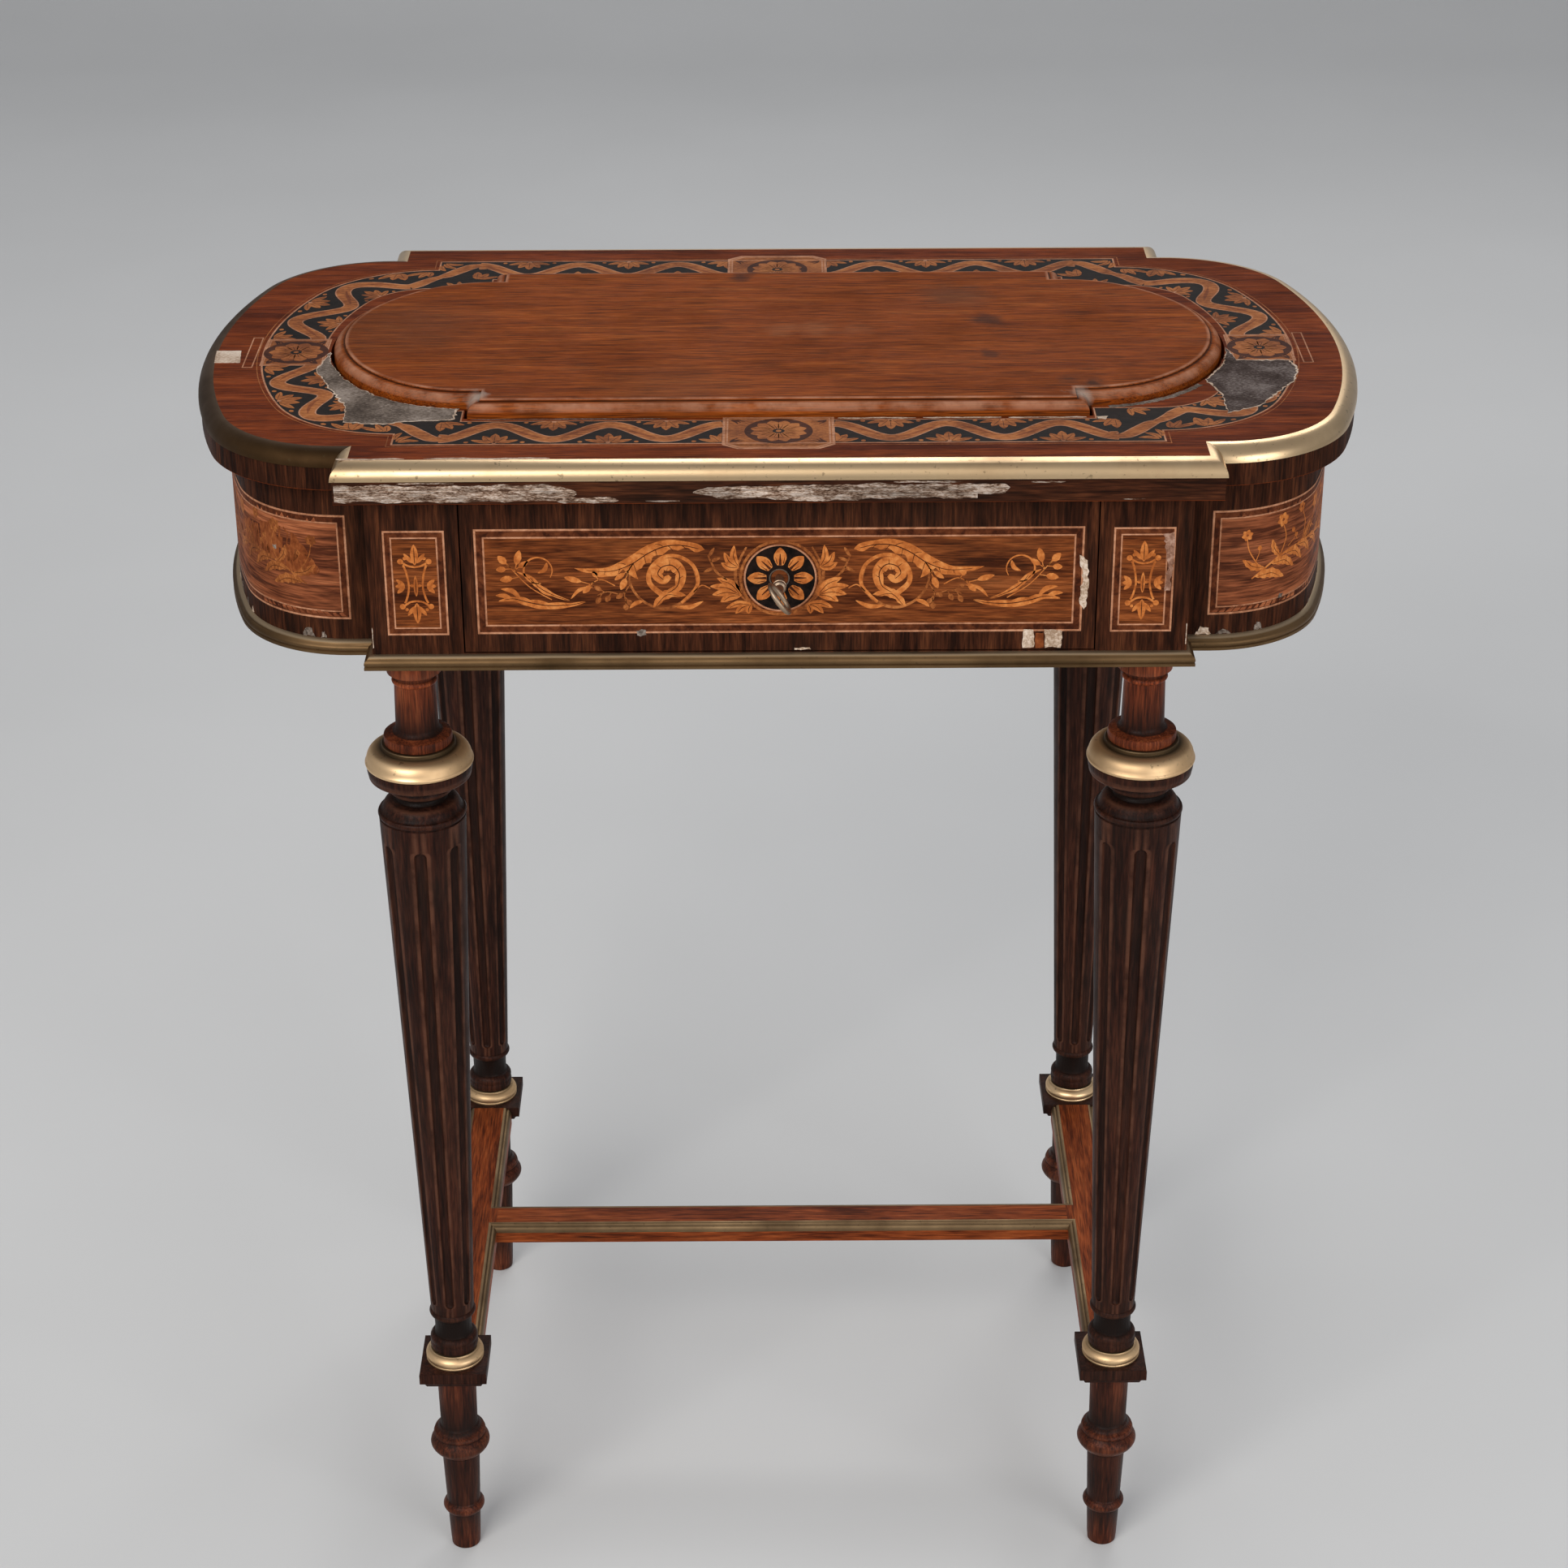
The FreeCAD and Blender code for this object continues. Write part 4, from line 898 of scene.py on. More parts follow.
    def rosette(self, centre, radius, petals, heart, petal="orange", eye="amber"):
        self.disc("ebony", centre, radius, 0.05, 48)
        for i in range(petals):
            angle = 2 * math.pi * (i + 0.5) / petals
            foot, tip = polar(centre, heart, angle), polar(centre, radius - 2.2, angle)
            width = 2 * math.pi * radius * 0.8 / petals
            middle = ((foot[0] + tip[0]) / 2, (foot[1] + tip[1]) / 2)
            widths = [width * 0.22, width * 0.52, width * 0.74, width * 0.86, 0.5]
            self.stroke(petal, [foot, middle, tip], widths, 0.08, 8)
            self.stroke("vein", [foot, middle], [0.4, 0.2], 0.11)
        self.disc(eye, centre, heart, 0.1, 24)

    def made(self):
        for veneer, shell in self.shells.items():
            shell.made(f"inlay_{self.label}_{veneer}", self.body, self.slot, paints[veneer], sharp=25)


chance = random.Random(1759)


def on_front(x, y, lift):
    return x, -front_y - lift, panel_z + y


drawer = Inlays("drawer", "drawer", "rosewood_veneer", on_front)
posts = Inlays("posts", "table", "rosewood_veneer", on_front)
upper = Inlays("top", "table", "veneered_top", lambda x, y, lift: (x, y, top + lift))


def drawer_half(work):
    """One half of the drawer's rinceau, in millimetres right of and above the keyhole."""
    high = smooth([(39.7, 16.7), (42.5, 19.6), (48.3, 21.2), (59.1, 22.4), (69.8, 19.6), (80.6, 12.5),
                   (91.4, 6.9), (100.5, 6.2), (109.5, 6.3)])
    scallops = [(109.5, 6.3), (104.5, 4), (99, 3.4), (96.5, 1.2), (91, 1.5), (87, 2), (83.5, 5.6),
                (79, 1.6), (75.4, -0.3), (76.4, 4), (73.4, 6.2), (71.8, 8.6), (68.4, 9.2), (67, 13),
                (62, 13.8), (58, 17), (54, 16.2), (49, 17.8), (44.5, 15.2), (39.7, 16.7)]
    low = []
    for i in range(0, 16, 2):
        low += smooth(scallops[i:i + 3], 5)[:-1]
    low += smooth(scallops[16:], 5)[:-1]
    work.plate("orange", high + low[1:])
    work.stroke("vein", [(43, 17.2), (52, 19.2), (61, 18.6), (70, 14.6), (79, 8.4), (90, 4.4), (103, 5)],
                [0.3, 0.5, 0.5, 0.4, 0.2], 0.08)
    for a, b in (((52, 19.2), (49.5, 16.9)), ((59, 18.8), (56.5, 15.8)), ((66, 16.8), (65, 12.6)),
                 ((72, 13.2), (71, 8.4)), ((78, 9), (76, 2.6)), ((85, 6), (86, 3)),
                 ((93, 4.2), (93.5, 2.4)), ((62, 18.8), (66, 20)), ((72, 14), (76, 14.6)),
                 ((82, 8.4), (86, 9))):
        work.stroke("vein", [a, between(a, b, 0.5, (0, 0.3)), b], [0.35, 0.2], 0.08, 3)
    spiral = [(79.3, 6.8), (79.7, -2.9), (74, -12.4), (63.4, -17.4), (52.6, -14.2), (44, -4.2), (45.3, 6.4),
              (52.6, 12.4), (61.2, 12.7), (68.5, 6.1), (69.4, -2.6), (62.5, -9.6)]
    work.stroke("amber", spiral[:7], [0.8, 1.1, 1.3, 1.5, 1.7, 1.9], 0.045, 8)
    work.stroke("orange", spiral[4:], [1.2, 1.7, 1.7, 1.7, 1.8, 2, 2.4, 2.8], 0.05, 8)
    bulb = [(62.5, -9.6), (54.5, -5), (53, 3), (57, 8), (63, 7), (65.5, 2.5), (62, -1), (58.5, 1.5)]
    work.stroke("orange", bulb, [2.2, 4, 5.6, 6.6, 6, 5, 4, 2.2], 0.055, 8, lobes=7, depth=0.3,
                sides=(0, 1))
    work.stroke("vein", [(60, -8.6), (54.8, -4.6), (53.4, 2.8), (57.2, 7.6), (62.6, 6.7), (64.9, 2.7),
                         (62, -0.6)],
                [0.25, 0.45, 0.5, 0.45, 0.3], 0.09)
    for row in ([(53.6, 0), (51.4, 1.5)], [(54.6, 5), (52.4, 7.2)], [(58.6, 7.8), (58.4, 10.6)],
                [(63.4, 6.4), (65.6, 8.2)], [(57.6, 2.2), (55, 4)], [(60.5, 2.8), (59.8, 6)]):
        work.stroke("vein", row, [0.35, 0.15], 0.09)
    work.leaf("orange", (67.7, -16.6), (50, -9.8), 5, -0.22, vein="vein", lobes=3, depth=0.4)
    work.leaves("orange", (((56, -16.4), (40.9, -13.3), 2.4, 0.12), ((73, -13), (80.5, -17.2), 2.2, 0.1)))
    work.stroke("orange", [(46, -8), (41.5, -4), (37, -6)], [0.5, 0.6, 0.4])
    for stem, buds, veneer in (
            ([(77.6, 9.3), (80.4, 5), (81.5, 1.9)], [((80.6, 3.8), (84.9, -6.4), 2.3),
                                                     ((79.8, 5.4), (88, -0.6), 1.8)],
             "orange"),
            ([(80, -3.5), (83, -9), (82, -15)],
             [((82, -7.2), (87.4, -11.4), 1.9), ((82.9, -10.4), (79, -15.6), 1.8),
              ((82.4, -13), (82.4, -18.4), 2)],
             "amber"),
            ([(86, -9), (92, -7.5), (97.5, -9.5)],
             [((90, -7.8), (93, -13.4), 1.9), ((95, -8.4), (98.2, -14.6), 1.9),
              ((93.4, -7.8), (99, -4.4), 1.7)],
             "amber"),
            ([(88, -4), (95.4, -0.4), (102, -3.6)],
             [((99, -1.6), (105.2, -8.2), 2.1), ((96.6, -0.8), (99.6, 4.4), 1.8),
              ((101, -3), (115, 1.1), 2.1)],
             "orange")):
        work.sprig(stem, buds, veneer)
    work.leaf("orange", (100, -4.6), (111.8, -11.5), 1.8, 0.15)
    long_leaf = [(104, -13.2), (112, -15), (124, -15.4), (134, -13.6), (142, -11.4), (150.5, -12.6)]
    work.stroke("orange", long_leaf, [0.4, 2, 3.6, 4.6, 4, 2.6, 0.4], 0.05, 7, lobes=5, depth=0.35,
                sides=(1, 0.2))
    work.stroke("vein", long_leaf[:-1] + [(147, -11.8)], [0.2, 0.45, 0.45, 0.2], 0.08)
    upper_leaf = [(112.5, -12.6), (121, -9.4), (128.5, -4.8), (133.2, 1), (140, 4.2)]
    work.stroke("orange", upper_leaf, [0.4, 1.6, 3.2, 2.8, 1.8, 0.4], 0.05, 7, lobes=4, depth=0.4,
                sides=(0.2, 1))
    work.stroke("vein", upper_leaf[:-1], [0.2, 0.4, 0.2], 0.08)
    ring = [polar((128.9, 5), 7.6, math.radians(d)) for d in range(-100, 215, 24)]
    work.stroke("orange", ring, [0.5, 0.9, 0.9, 0.7, 0.4])
    work.leaf("orange", (124, 9.6), (129, 3.6), 2.2, -0.2)
    work.sprig([(122, -12), (133, -5), (141, 3.6), (146, 10)],
               [((141.4, 4), (138.4, 16.8), 2.6), ((143.4, 6.6), (150, 13.6), 2.6),
                ((139, 1.2), (149.4, -0.4), 2.5), ((142, 5), (134, 10.4), 2),
                ((143.2, 6.2), (151.2, 5.6), 2.2)])
    work.leaves("orange", (((139, -10.8), (149, -5.6), 2.6, 0.15), ((143, -12), (152, -9.4), 2.4, 0.12)))


def medallion_side(work):
    """The palmettes beside the drawer's medallion."""
    work.stroke("amber", [(17.5, 18), (21.6, 9.5), (23.6, 2), (21, -9), (16, -14.5)], [0.8, 1.4, 1.4, 0.7])
    for foot, tips, width, bend in (
            ((21.8, 6), ((24, 19), (29.4, 15), (31, 9)), 3.4, -0.12),
            ((20.3, -9.8), ((33.4, 0.2), (37, -4.6), (36, -9.6), (31.6, -13.8)), 4.3, 0.1),
            ((15.4, -15.2), ((28.6, -17.4), (23.6, -20.6), (16.6, -20.8)), 3.4, 0.1)):
        work.leaves("orange", [(foot, tip, width, bend) for tip in tips], vein="vein")
    work.stroke("amber", [(38, 13.4), (33.8, 4), (28, -1)], [0.6, 1.2, 0.5])
    work.leaves("amber", (((36.6, 9.8), (31.4, 12), 1.7), ((35, 6.2), (40.4, 3.6), 1.7),
                          ((37.6, 12.6), (34.6, 17.8), 1.7)))


def long_panel(work, low, high):
    """The strings and the band of the drawer, and of the back, round a ground from low to high."""
    work.field("panel", low, high, 0.03, 40)
    work.frame("string", (-162.5, -32), (162.5, 29), 1.1)
    work.frame("red_band", (-161.4, -30.9), (161.4, 27.9), 3.4, 0.045)
    work.frame("string", (-158, -27.5), (158, 24.5), 0.9, 0.055)


long_panel(drawer, (-162, -31.5), (162, 28.5))
drawer.bold = 1.15
for drawer.flip in (1, -1):
    drawer_half(drawer)
    medallion_side(drawer)
drawer.flip, drawer.bold = 1, 1
medallion = (0.5, 0)
for veneer, outer, lift, inner in (("amber", 22, 0.055, 20.5), ("string", 19.5, 0.055, 18.6),
                                   ("ebony", 18.8, 0.05, 4.9)):
    drawer.disc(veneer, medallion, outer, lift, 64, inner)
for i in range(8):
    angle = math.radians(45 * i)
    petal = [polar(medallion, r, angle) for r in (7.4, 12.6, 17.6)]
    drawer.stroke("orange", petal, [3, 5.2, 7, 6.6, 4, 0.4], 0.08, 8)
    for turn, foot, tip, width in ((0, 7.5, 14, 1.5), (-0.2, 8.4, 12.4, 0.5), (0.2, 8.4, 12.4, 0.5)):
        line = [polar(medallion, r, angle + turn) for r in (foot, tip)]
        drawer.stroke("vein", line, [width, 0.2 if turn else 0.4], 0.11)


def post_panel(work):
    """The small upright panel on a post: strings and an open cartouche with buds."""
    work.frame("string", (-16.5, -32.5), (16.5, 28.3), 1)
    work.frame("red_band", (-15.5, -31.5), (15.5, 27.3), 3, 0.04)
    work.field("panel", (-12, -28.2), (12, 24), 0.03, 30)
    work.frame("string", (-12.6, -28.7), (12.6, 24.5), 0.8)
    waist = (6, -3.7)
    for work.flip in (1, -1):
        for points in ([(0, 7.4), (3.2, 8), (6.2, 9.6)], [(6.2, 8.6), (4.6, 3.6), (3.7, -3.7), (4.8, -10),
                                                          (6.2, -13.6)],
                       [(0, -12.4), (3.4, -13), (6.4, -15)]):
            work.stroke("orange", points, [0.9, 0.8, 0.9])
        for centre, radius in (((7.6, 10.6), 1.6), ((5.2, 12.4), 1), ((7.6, -15.6), 1.6),
                               ((5.4, -17.4), 0.9)):
            work.disc("orange", centre, radius, 0.06, 16)
        work.leaves("orange", (((1.2, 9.8), (5.6, 15.2), 1.8), ((1.2, -15.6), (5, -20.8), 1.8),
                               (waist, (10.2, 0.2), 2), (waist, (10.9, -3.8), 2.2), (waist, (10, -7.8), 2),
                               ((0.8, -3.7), (3.2, -3.2), 1.4)))
    work.flip = 1
    buds = ((8.6, 20.4, 3.4), (-13.6, -25.4, 3.4), (-9.6, 2.4, 2))
    work.leaves("orange", [((0, base), (0, tip), width) for base, tip, width in buds], vein="vein")


def post_panels(work):
    """The panels of both posts that flank the drawer, or the back."""
    post_x = 194.5
    for sign in (1, -1):
        work.move = (sign * post_x, 0)
        post_panel(work)
    work.move = (0, 0)


posts.bold = 1.3
post_panels(posts)
posts.bold = 1

# The back of the frieze, which the photo does not show, repeats the front's ornament.
def on_back(x, y, lift):
    return -x, front_y + lift, panel_z + y


rear = Inlays("rear", "table", "rosewood_veneer", on_back)
long_panel(rear, (-161.5, -31), (161.5, 28))
for rear.flip in (1, -1):
    drawer_half(rear)
rear.flip = 1
rear.move = (0.5, -1)
for radius, inner, veneer in ((17, 15.6, "orange"), (13.6, 12.8, "string")):
    rear.disc(veneer, (0, 0), radius, 0.055, 56, inner)
rear.rosette((0, 0), 12.6, 8, 2.6)
post_panels(rear)
rear.made()

# The ends of the frieze: `s` runs along the bow from the front post to the back post.
end_track = {sign: Track([(sign * x, y) for x, y in top_plan.right(frieze_inset)[1:-1]])
             for sign in (1, -1)}


def end_place(side):
    track = end_track[side]

    def place(s, y, lift):
        x, deep = track.at(s, side * (lift + 0.09))
        return x, deep, panel_z + y
    return place


def bouquet(work, worn_away):
    """The flowers of an end panel, from the panel's middle; `worn_away` fades the veneers."""
    leaf = "amber" if worn_away else "orange"
    if worn_away:
        for x, y, long, high in ((-30, 6, 24, 14), (-46, -4, 14, 9), (-8, 2, 20, 12), (14, -4, 16, 9)):
            work.stroke("russet", [(x - long, y - 2), (x, y + 2), (x + long, y)],
                        [1, high * 1.4, high * 1.7, high, 1], 0.04, 10, lobes=7, depth=0.3)
    work.stroke(leaf, [(-52, -14), (-34, -4), (-14, -1), (6, -3), (30, -9)], [0.8, 1.3, 1.4, 1.2, 0.7],
                steps=8)
    work.leaves(leaf, (
        ((-50, -13), (-30, -17), 6.5, 0.12), ((-40, -7), (-22, -13), 6, 0.15),
        ((-30, -3), (-14, -11), 5.5, 0.15), ((-44, -9), (-58, -2), 5, 0.1),
        ((-20, -1), (-4, -10), 5.5, 0.15), ((-6, -1), (12, -12), 5.5, 0.12), ((10, -3), (24, 3), 5, -0.12),
        ((22, -6), (40, -15), 5.5, 0.1), ((-34, -4), (-40, 7), 4.5, 0.1), ((-12, -1), (-4, 8), 4.5, 0.1),
        ((30, -9), (44, -4), 4.5, 0.1)), vein="vein", lobes=5, depth=0.35)
    for stem, flower, radius in (
            ([(-34, -4), (-30, 6), (-33, 15)], (-33, 17), 4.2),
            ([(-14, -1), (-12, 10), (-17, 19)], (-17, 20), 3.2), ([(-8, -1), (0, 9), (2, 15)], (3, 17), 5),
            ([(8, -3), (16, 8), (22, 14)], (23, 16), 3.6), ([(-46, -10), (-54, 2), (-56, 10)], (-56, 12),
                                                            3.4),
            ([(24, -7), (36, 4), (40, 8)], (41, 9), 3)):
        work.stroke(leaf, stem, [0.8, 0.5])
        tips = [polar(flower, radius, math.radians(60 * i + 15)) for i in range(6)]
        work.leaves(leaf, [(flower, tip, radius * 0.8) for tip in tips], lift=0.08)
        work.disc("russet", flower, radius * 0.22, 0.11, 12)
    for start, tip in (((-20, 2), (-25, 10)), ((3, 2), (-4, 5)), ((14, 4), (12, 14)), ((-50, -4), (-48, 5)),
                       ((30, -2), (31, 8)), ((-28, 0), (-20, 6)), ((34, 0), (46, 1))):
        knee = between(start, tip, 0.5, (0.8, 0))
        work.sprig([start, knee], [(knee, tip, 2)], leaf)


ends = {}
for side, name in hands:
    work = ends[side] = Inlays(f"end_{name}", "table", "rosewood_veneer", end_place(side))
    far = end_track[side].length
    for front, start, finish in ((True, 13, far / 2 - 4), (False, far / 2 + 4, far - 13)):
        work.field("panel_end", (start + 1, -31), (finish - 1, 28))
        for veneer, inset, low, high, width, lift in (("string", 0, -32, 29, 1.1, 0.05),
                                                      ("red_band", 1.1, -30.9, 27.9, 3.1, 0.045),
                                                      ("string", 4.2, -27.8, 24.8, 0.8, 0.05)):
            work.frame(veneer, (start + inset, low), (finish - inset, high), width, lift, 4)
        work.move = ((start + finish) / 2 - (16 if front else -16), 1.5)
        bouquet(work, front and name == "left")
        work.move = (0, 0)


# The border of the top: `a` runs along a side, `b` is 0 in the middle of the band, outwards up.
band_middle = 17.5
reach, ribbon_wide, string_wide = 10.6, 7.7, 9.2
for veneer, outer, inner, lift in (("ebony", 0, 34, 0.02), ("string", -0.5, 0.5, 0.05),
                                   ("string", 33.6, 34.4, 0.05), ("amber", -3, -2.5, 0.04)):
    upper.border(veneer, border_plan.outline(outer), border_plan.outline(inner), lift)


def side_place(side):
    return lambda a, b, lift: (side * a, side * (border_plan.depth - band_middle + b), top + lift)


def reserve_place(side):
    return lambda a, b, lift: (side * b, a, top + lift)


def round_place(side):
    track = Track([(side * x, y) for x, y in border_plan.right(band_middle)[1:-1]])
    return lambda a, b, lift: (*track.at(a, side * b), top + lift), track.length


def ribbon_run(work, start, finish, swings):
    """The ribbon that swings between the edges of the band, with a palmette in each bay."""
    step = (finish - start) / swings
    points = [(start + step * i / 8, -reach * math.cos(math.pi * i / 8)) for i in range(8 * swings + 1)]
    work.stroke("string", points, [string_wide] * 2, 0.05, 2)
    work.stroke("ribbon", points, [ribbon_wide] * 2, 0.065, 2)
    for i in range(swings):
        a, b = start + (i + 0.16) * step, start + (i + 0.84) * step
        sign = -(-1) ** i
        shade = [(a, sign * reach * 0.72 + sign * 1.4), (a + step * 0.34, sign * 1.8),
                 (b, -sign * reach * 0.72)]
        work.stroke("russet", shade, [0.3, 1.6, 2.4, 1.2, 0.3], 0.08)
    for i in range(swings + 1):
        sign = (-1) ** i
        s, foot = start + i * step, sign * 15.6
        up = -sign
        for lean, height, width in ((0, 13.4, 6), (6.4, 10.2, 5.2), (-6.4, 10.2, 5.2), (12.5, 4.4, 4),
                                    (-12.5, 4.4, 4)):
            if start - 3 <= s + lean <= finish + 3:
                work.leaf("ribbon", (s + lean * 0.16, foot), (s + lean, foot + up * height), width,
                          vein="vein")
        for lean in (13, -13):
            if start <= s + lean <= finish:
                work.disc("ribbon", (s + lean * 1.15, foot + up * 1.2), 1.3, 0.05, 12)
        if start < s < finish:
            work.disc("string", (s, foot + up * 0.4), 1.3, 0.07, 12)


def corner_turn(work, s):
    """The ribbon's last turn at a corner of the band, with a spray outside it."""
    curve = [(s - x, y) for x, y in ((-12, -12), (-7, -8), (0, 1), (7, 8.5), (13, 9.5), (15, 5.5), (11, 4))]
    work.stroke("string", curve, [4, 8, string_wide, 8.2, 6, 4.2, 2.6])
    work.stroke("ribbon", curve, [2.8, 6.6, ribbon_wide, 6.8, 4.8, 3, 1.5], 0.07)
    for (x, y), (u, v) in (((-11, 13), (-3, 5)), ((-10, 14), (1, 12)), ((-12, 10), (-9, 0))):
        work.leaf("ribbon", (s - x, y), (s - u, v), 3.8, 0.12, vein="vein")


def cartouche(work, centre, low, high, foot=0, petals=12):
    """A rosette on a reserve of pale-edged rosewood, with a leaf in each corner."""
    (x0, y0), (x1, y1) = low, high
    outline = [(x0, y0), (x1, y0), (x1, y1)]
    outline += [(x1 - 8, y1 + foot), (x0 + 8, y1 + foot), (x0, y1)] if foot else [(x0, y1)]
    work.plate("amber", outline, 0.04)
    middle = ((x0 + x1) / 2, (y0 + y1) / 2)
    for cut_in, width in ((0, 0.9), (0.07, 0.6)):
        rims = [[tuple(m + (v - m) * (1 - cut_in - k * width / 18) for v, m in zip(p, middle))
                 for p in outline] for k in (0, 1)]
        work.border("string", *rims, 0.06)
    for sx in (1, -1):
        for sy in (1, -1):
            base = (centre[0] + sx * (x1 - x0) * 0.43, centre[1] + sy * (y1 - y0) * 0.4)
            for lean in (0.55, 1, 1.6):
                tip = (base[0] - sx * 9 / (0.6 + lean), base[1] - sy * 3.6 * lean)
                work.leaf("vein", base, tip, 1.3, 0.1, lift=0.07)
    work.disc("vein", centre, 18.3, 0.07, 56)
    work.rosette(centre, 17.6, petals, 3.2, petal="ribbon", eye="ebony")
    work.disc("ribbon", centre, 1.5, 0.13, 16)


for side, name in ((-1, "front"), (1, "back")):
    work = Inlays(f"border_{name}", "table", "veneered_top", side_place(side))
    for work.flip in (1, -1):
        ribbon_run(work, 30, 181, 5)
        corner_turn(work, 192)
    work.flip = 1
    cartouche(work, (0, 0), (-30, -20.5), (30, 20), 6)
    work.made()
for side, name in hands:
    place, length = round_place(side)
    work = Inlays(f"border_{name}", "table", "veneered_top", place)
    middle = length / 2 - 8
    ribbon_run(work, 36, middle - 22, 4)
    ribbon_run(work, middle + 22, length - 36, 4)
    for place_on in (lambda a: a, lambda a: length - a):
        points = [(place_on(a), b) for a, b in ((15, 5), (20, 0.5), (27, -6.4), (33, -10), (36, -10.6))]
        work.stroke("string", points, [4.6, string_wide, string_wide], 0.056)
        work.stroke("ribbon", points, [3.4, ribbon_wide, ribbon_wide], 0.076)
        for (x, y), (u, v) in (((22, 14), (28, 4)), ((21, 14), (22, 5)), ((23, 14), (35, 9)),
                               ((4, -15), (11, -6)), ((5, -15.4), (14, -12.6)), ((2.5, -15), (3.5, -4.5))):
            work.leaf("ribbon", (place_on(x), y), (place_on(u), v), 3.8, vein="vein")
    work.made()
    work = Inlays(f"reserve_{name}", "table", "veneered_top", reserve_place(side))
    cartouche(work, (-8, 273.5), (-30, 255.5), (14, 291.5), petals=10)
    work.frame("string", (-33, 295), (17, 301), 0.7)
    work.made()


# Losses and old repairs. Bare ground shows grey or black, with a pale torn rim.
def recess_edge(sign, low, high, inset=-2.6):
    """Points along the recess in the front quarter of one end, from the bow towards the corner."""
    line = [(sign * x, y) for x, y in lid_plan.right(inset) if y < 0 and low <= x <= high]
    return sorted(line, key=lambda p: -abs(p[0]))


left_loss = recess_edge(-1, 172, 256) + [(-175, -117), (-199, -119), (-213, -123), (-234, -120),
                                         (-236, -96), (-250, -62), (-259, -38)]
right_loss = recess_edge(1, 236, 256) + [(243, -84), (243, -112), (261, -102), (285, -64), (291, -45),
                                         (288, -29), (258, -28)]
upper.ragged("bare", left_loss, 0.8, 0.12, rim="pale_bare")
upper.ragged("dark_bare", right_loss, 0.7, 0.12, rim="pale_bare")
upper.ragged("bare", recess_edge(1, 178, 236) + sorted(recess_edge(1, 178, 238, -6.2)), 0.4)
upper.ragged("pale_bare", [(171, -116), (178, -115.6), (176, -121), (172, -119)], 0.5, 0.13)
upper.ragged("pale_bare", [(-319, -5), (-305, -5), (-303, -25), (-317.5, -25)], 0.15)


def torn(work, veneer, start, finish, low, high, ends=(True, True), lift=0.1):
    """A long loss with ragged edges: pointed at an end where `ends` says so."""
    count = int((finish - start) / 2.5)
    lefts, rights = [], []
    shake = min(0.55, (high - low) * 0.3)
    drift = [0, 0]
    for i in range(count + 1):
        t = i / count
        taper = min(1, (t * 9 if ends[0] else 1), ((1 - t) * 9 if ends[1] else 1))
        drift = [d * 0.7 + chance.uniform(-shake, shake) for d in drift]
        half = (high - low) / 2 * max(0.08, taper ** 0.6)
        x = start + (finish - start) * t
        lefts.append((x, (low + high) / 2 - half + drift[0]))
        rights.append((x, max(lefts[-1][1] + 0.1, (low + high) / 2 + half + drift[1])))
    work.ribbon(veneer, lefts, rights, lift)


for veneer, start, finish, low, high in (
        ("pale_bare", 32, 74, -117.4, -116), ("pale_bare", 78, 120, -117.4, -116),
        ("pale_bare", 124, 166, -117.4, -116), ("bare", -166, -60, -116.6, -115.8),
        ("pale_bare", -232, -196, -174.3, -172.4), ("pale_bare", -186, -120, -174.3, -172.4)):
    torn(upper, veneer, start, finish, low, high)
upper.made()


def on_edge(x, y, lift):
    return x, 1 - top_plan.depth - lift, 724.5 + y


edge_face = Inlays("edge", "table", "veneered_top", on_edge)
edge_face.field("edge_band", (-234, -6.3), (234, 6.2), 0.02, 40)
for index, row in enumerate((
        (-233, -106, -5.2, 4.2, (False, True)), (-118, -84, -5.9, -3.2),
        (-45, 104, -4.6, 3.6, (True, False)), (98, 121, -1.2, 4.4, (False, True)), (60, 96, 4.6, 5.4),
        (-70, -52, -5.6, -4.8), (132, 150, 4.2, 5), (-200, -170, 4.9, 5.6), (180, 192, -5.7, -5))):
    torn(edge_face, "streaked", *row, lift=0.1 + 0.01 * index)
edge_face.made()

for work, veneer, points, rough, lift in (
        (drawer, "pale_bare", [(131.5, -31), (137, -31), (137.4, -41.5), (131, -41.8)], 0.4, 0.12),
        (drawer, "russet", [(138, -33), (142.4, -33), (142.4, -41.5), (138, -41.8)], 0.3, 0.12),
        (drawer, "pale_bare", [(143, -31), (152.5, -31.5), (152, -41.6), (143.4, -41.6)], 0.5, 0.13),
        (drawer, "pale_bare", [(160.6, 12), (164.8, 9), (165.2, -8), (164, -19.5), (160.4, -15), (162, -2)],
         0.7, 0.12),
        (drawer, "bare", [(-77.5, -30.2), (-72, -30), (-71.5, -33.2), (-77, -33.5)], 0.6, 0.12),
        (drawer, "pale_bare", [(8, -41.2), (16, -40.6), (17, -42), (8, -42.2)], 0.3, 0.1),
        (posts, "rubbed", [(204.4, 24.5), (210.2, 24.8), (210.6, 8), (209, -9), (206, -8.6), (207.4, 6)],
         0.7, 0.12),
        (posts, "pale_bare", [(219.5, -28), (219.2, -28), (219.1, -40), (219.5, -40)], 0.08, 0.09),
        (posts, "pale_bare", [(-219.5, -28), (-219.2, -28), (-219.1, -40), (-219.5, -40)], 0.08, 0.09),
        (posts, "pale_bare", [(-219, -44), (-206, -44.2), (-205, -46), (-219, -46)], 0.4, 0.1)):
    work.ragged(veneer, points, rough, lift)
foot = -43.6  # The lower edge of the ends' veneer.
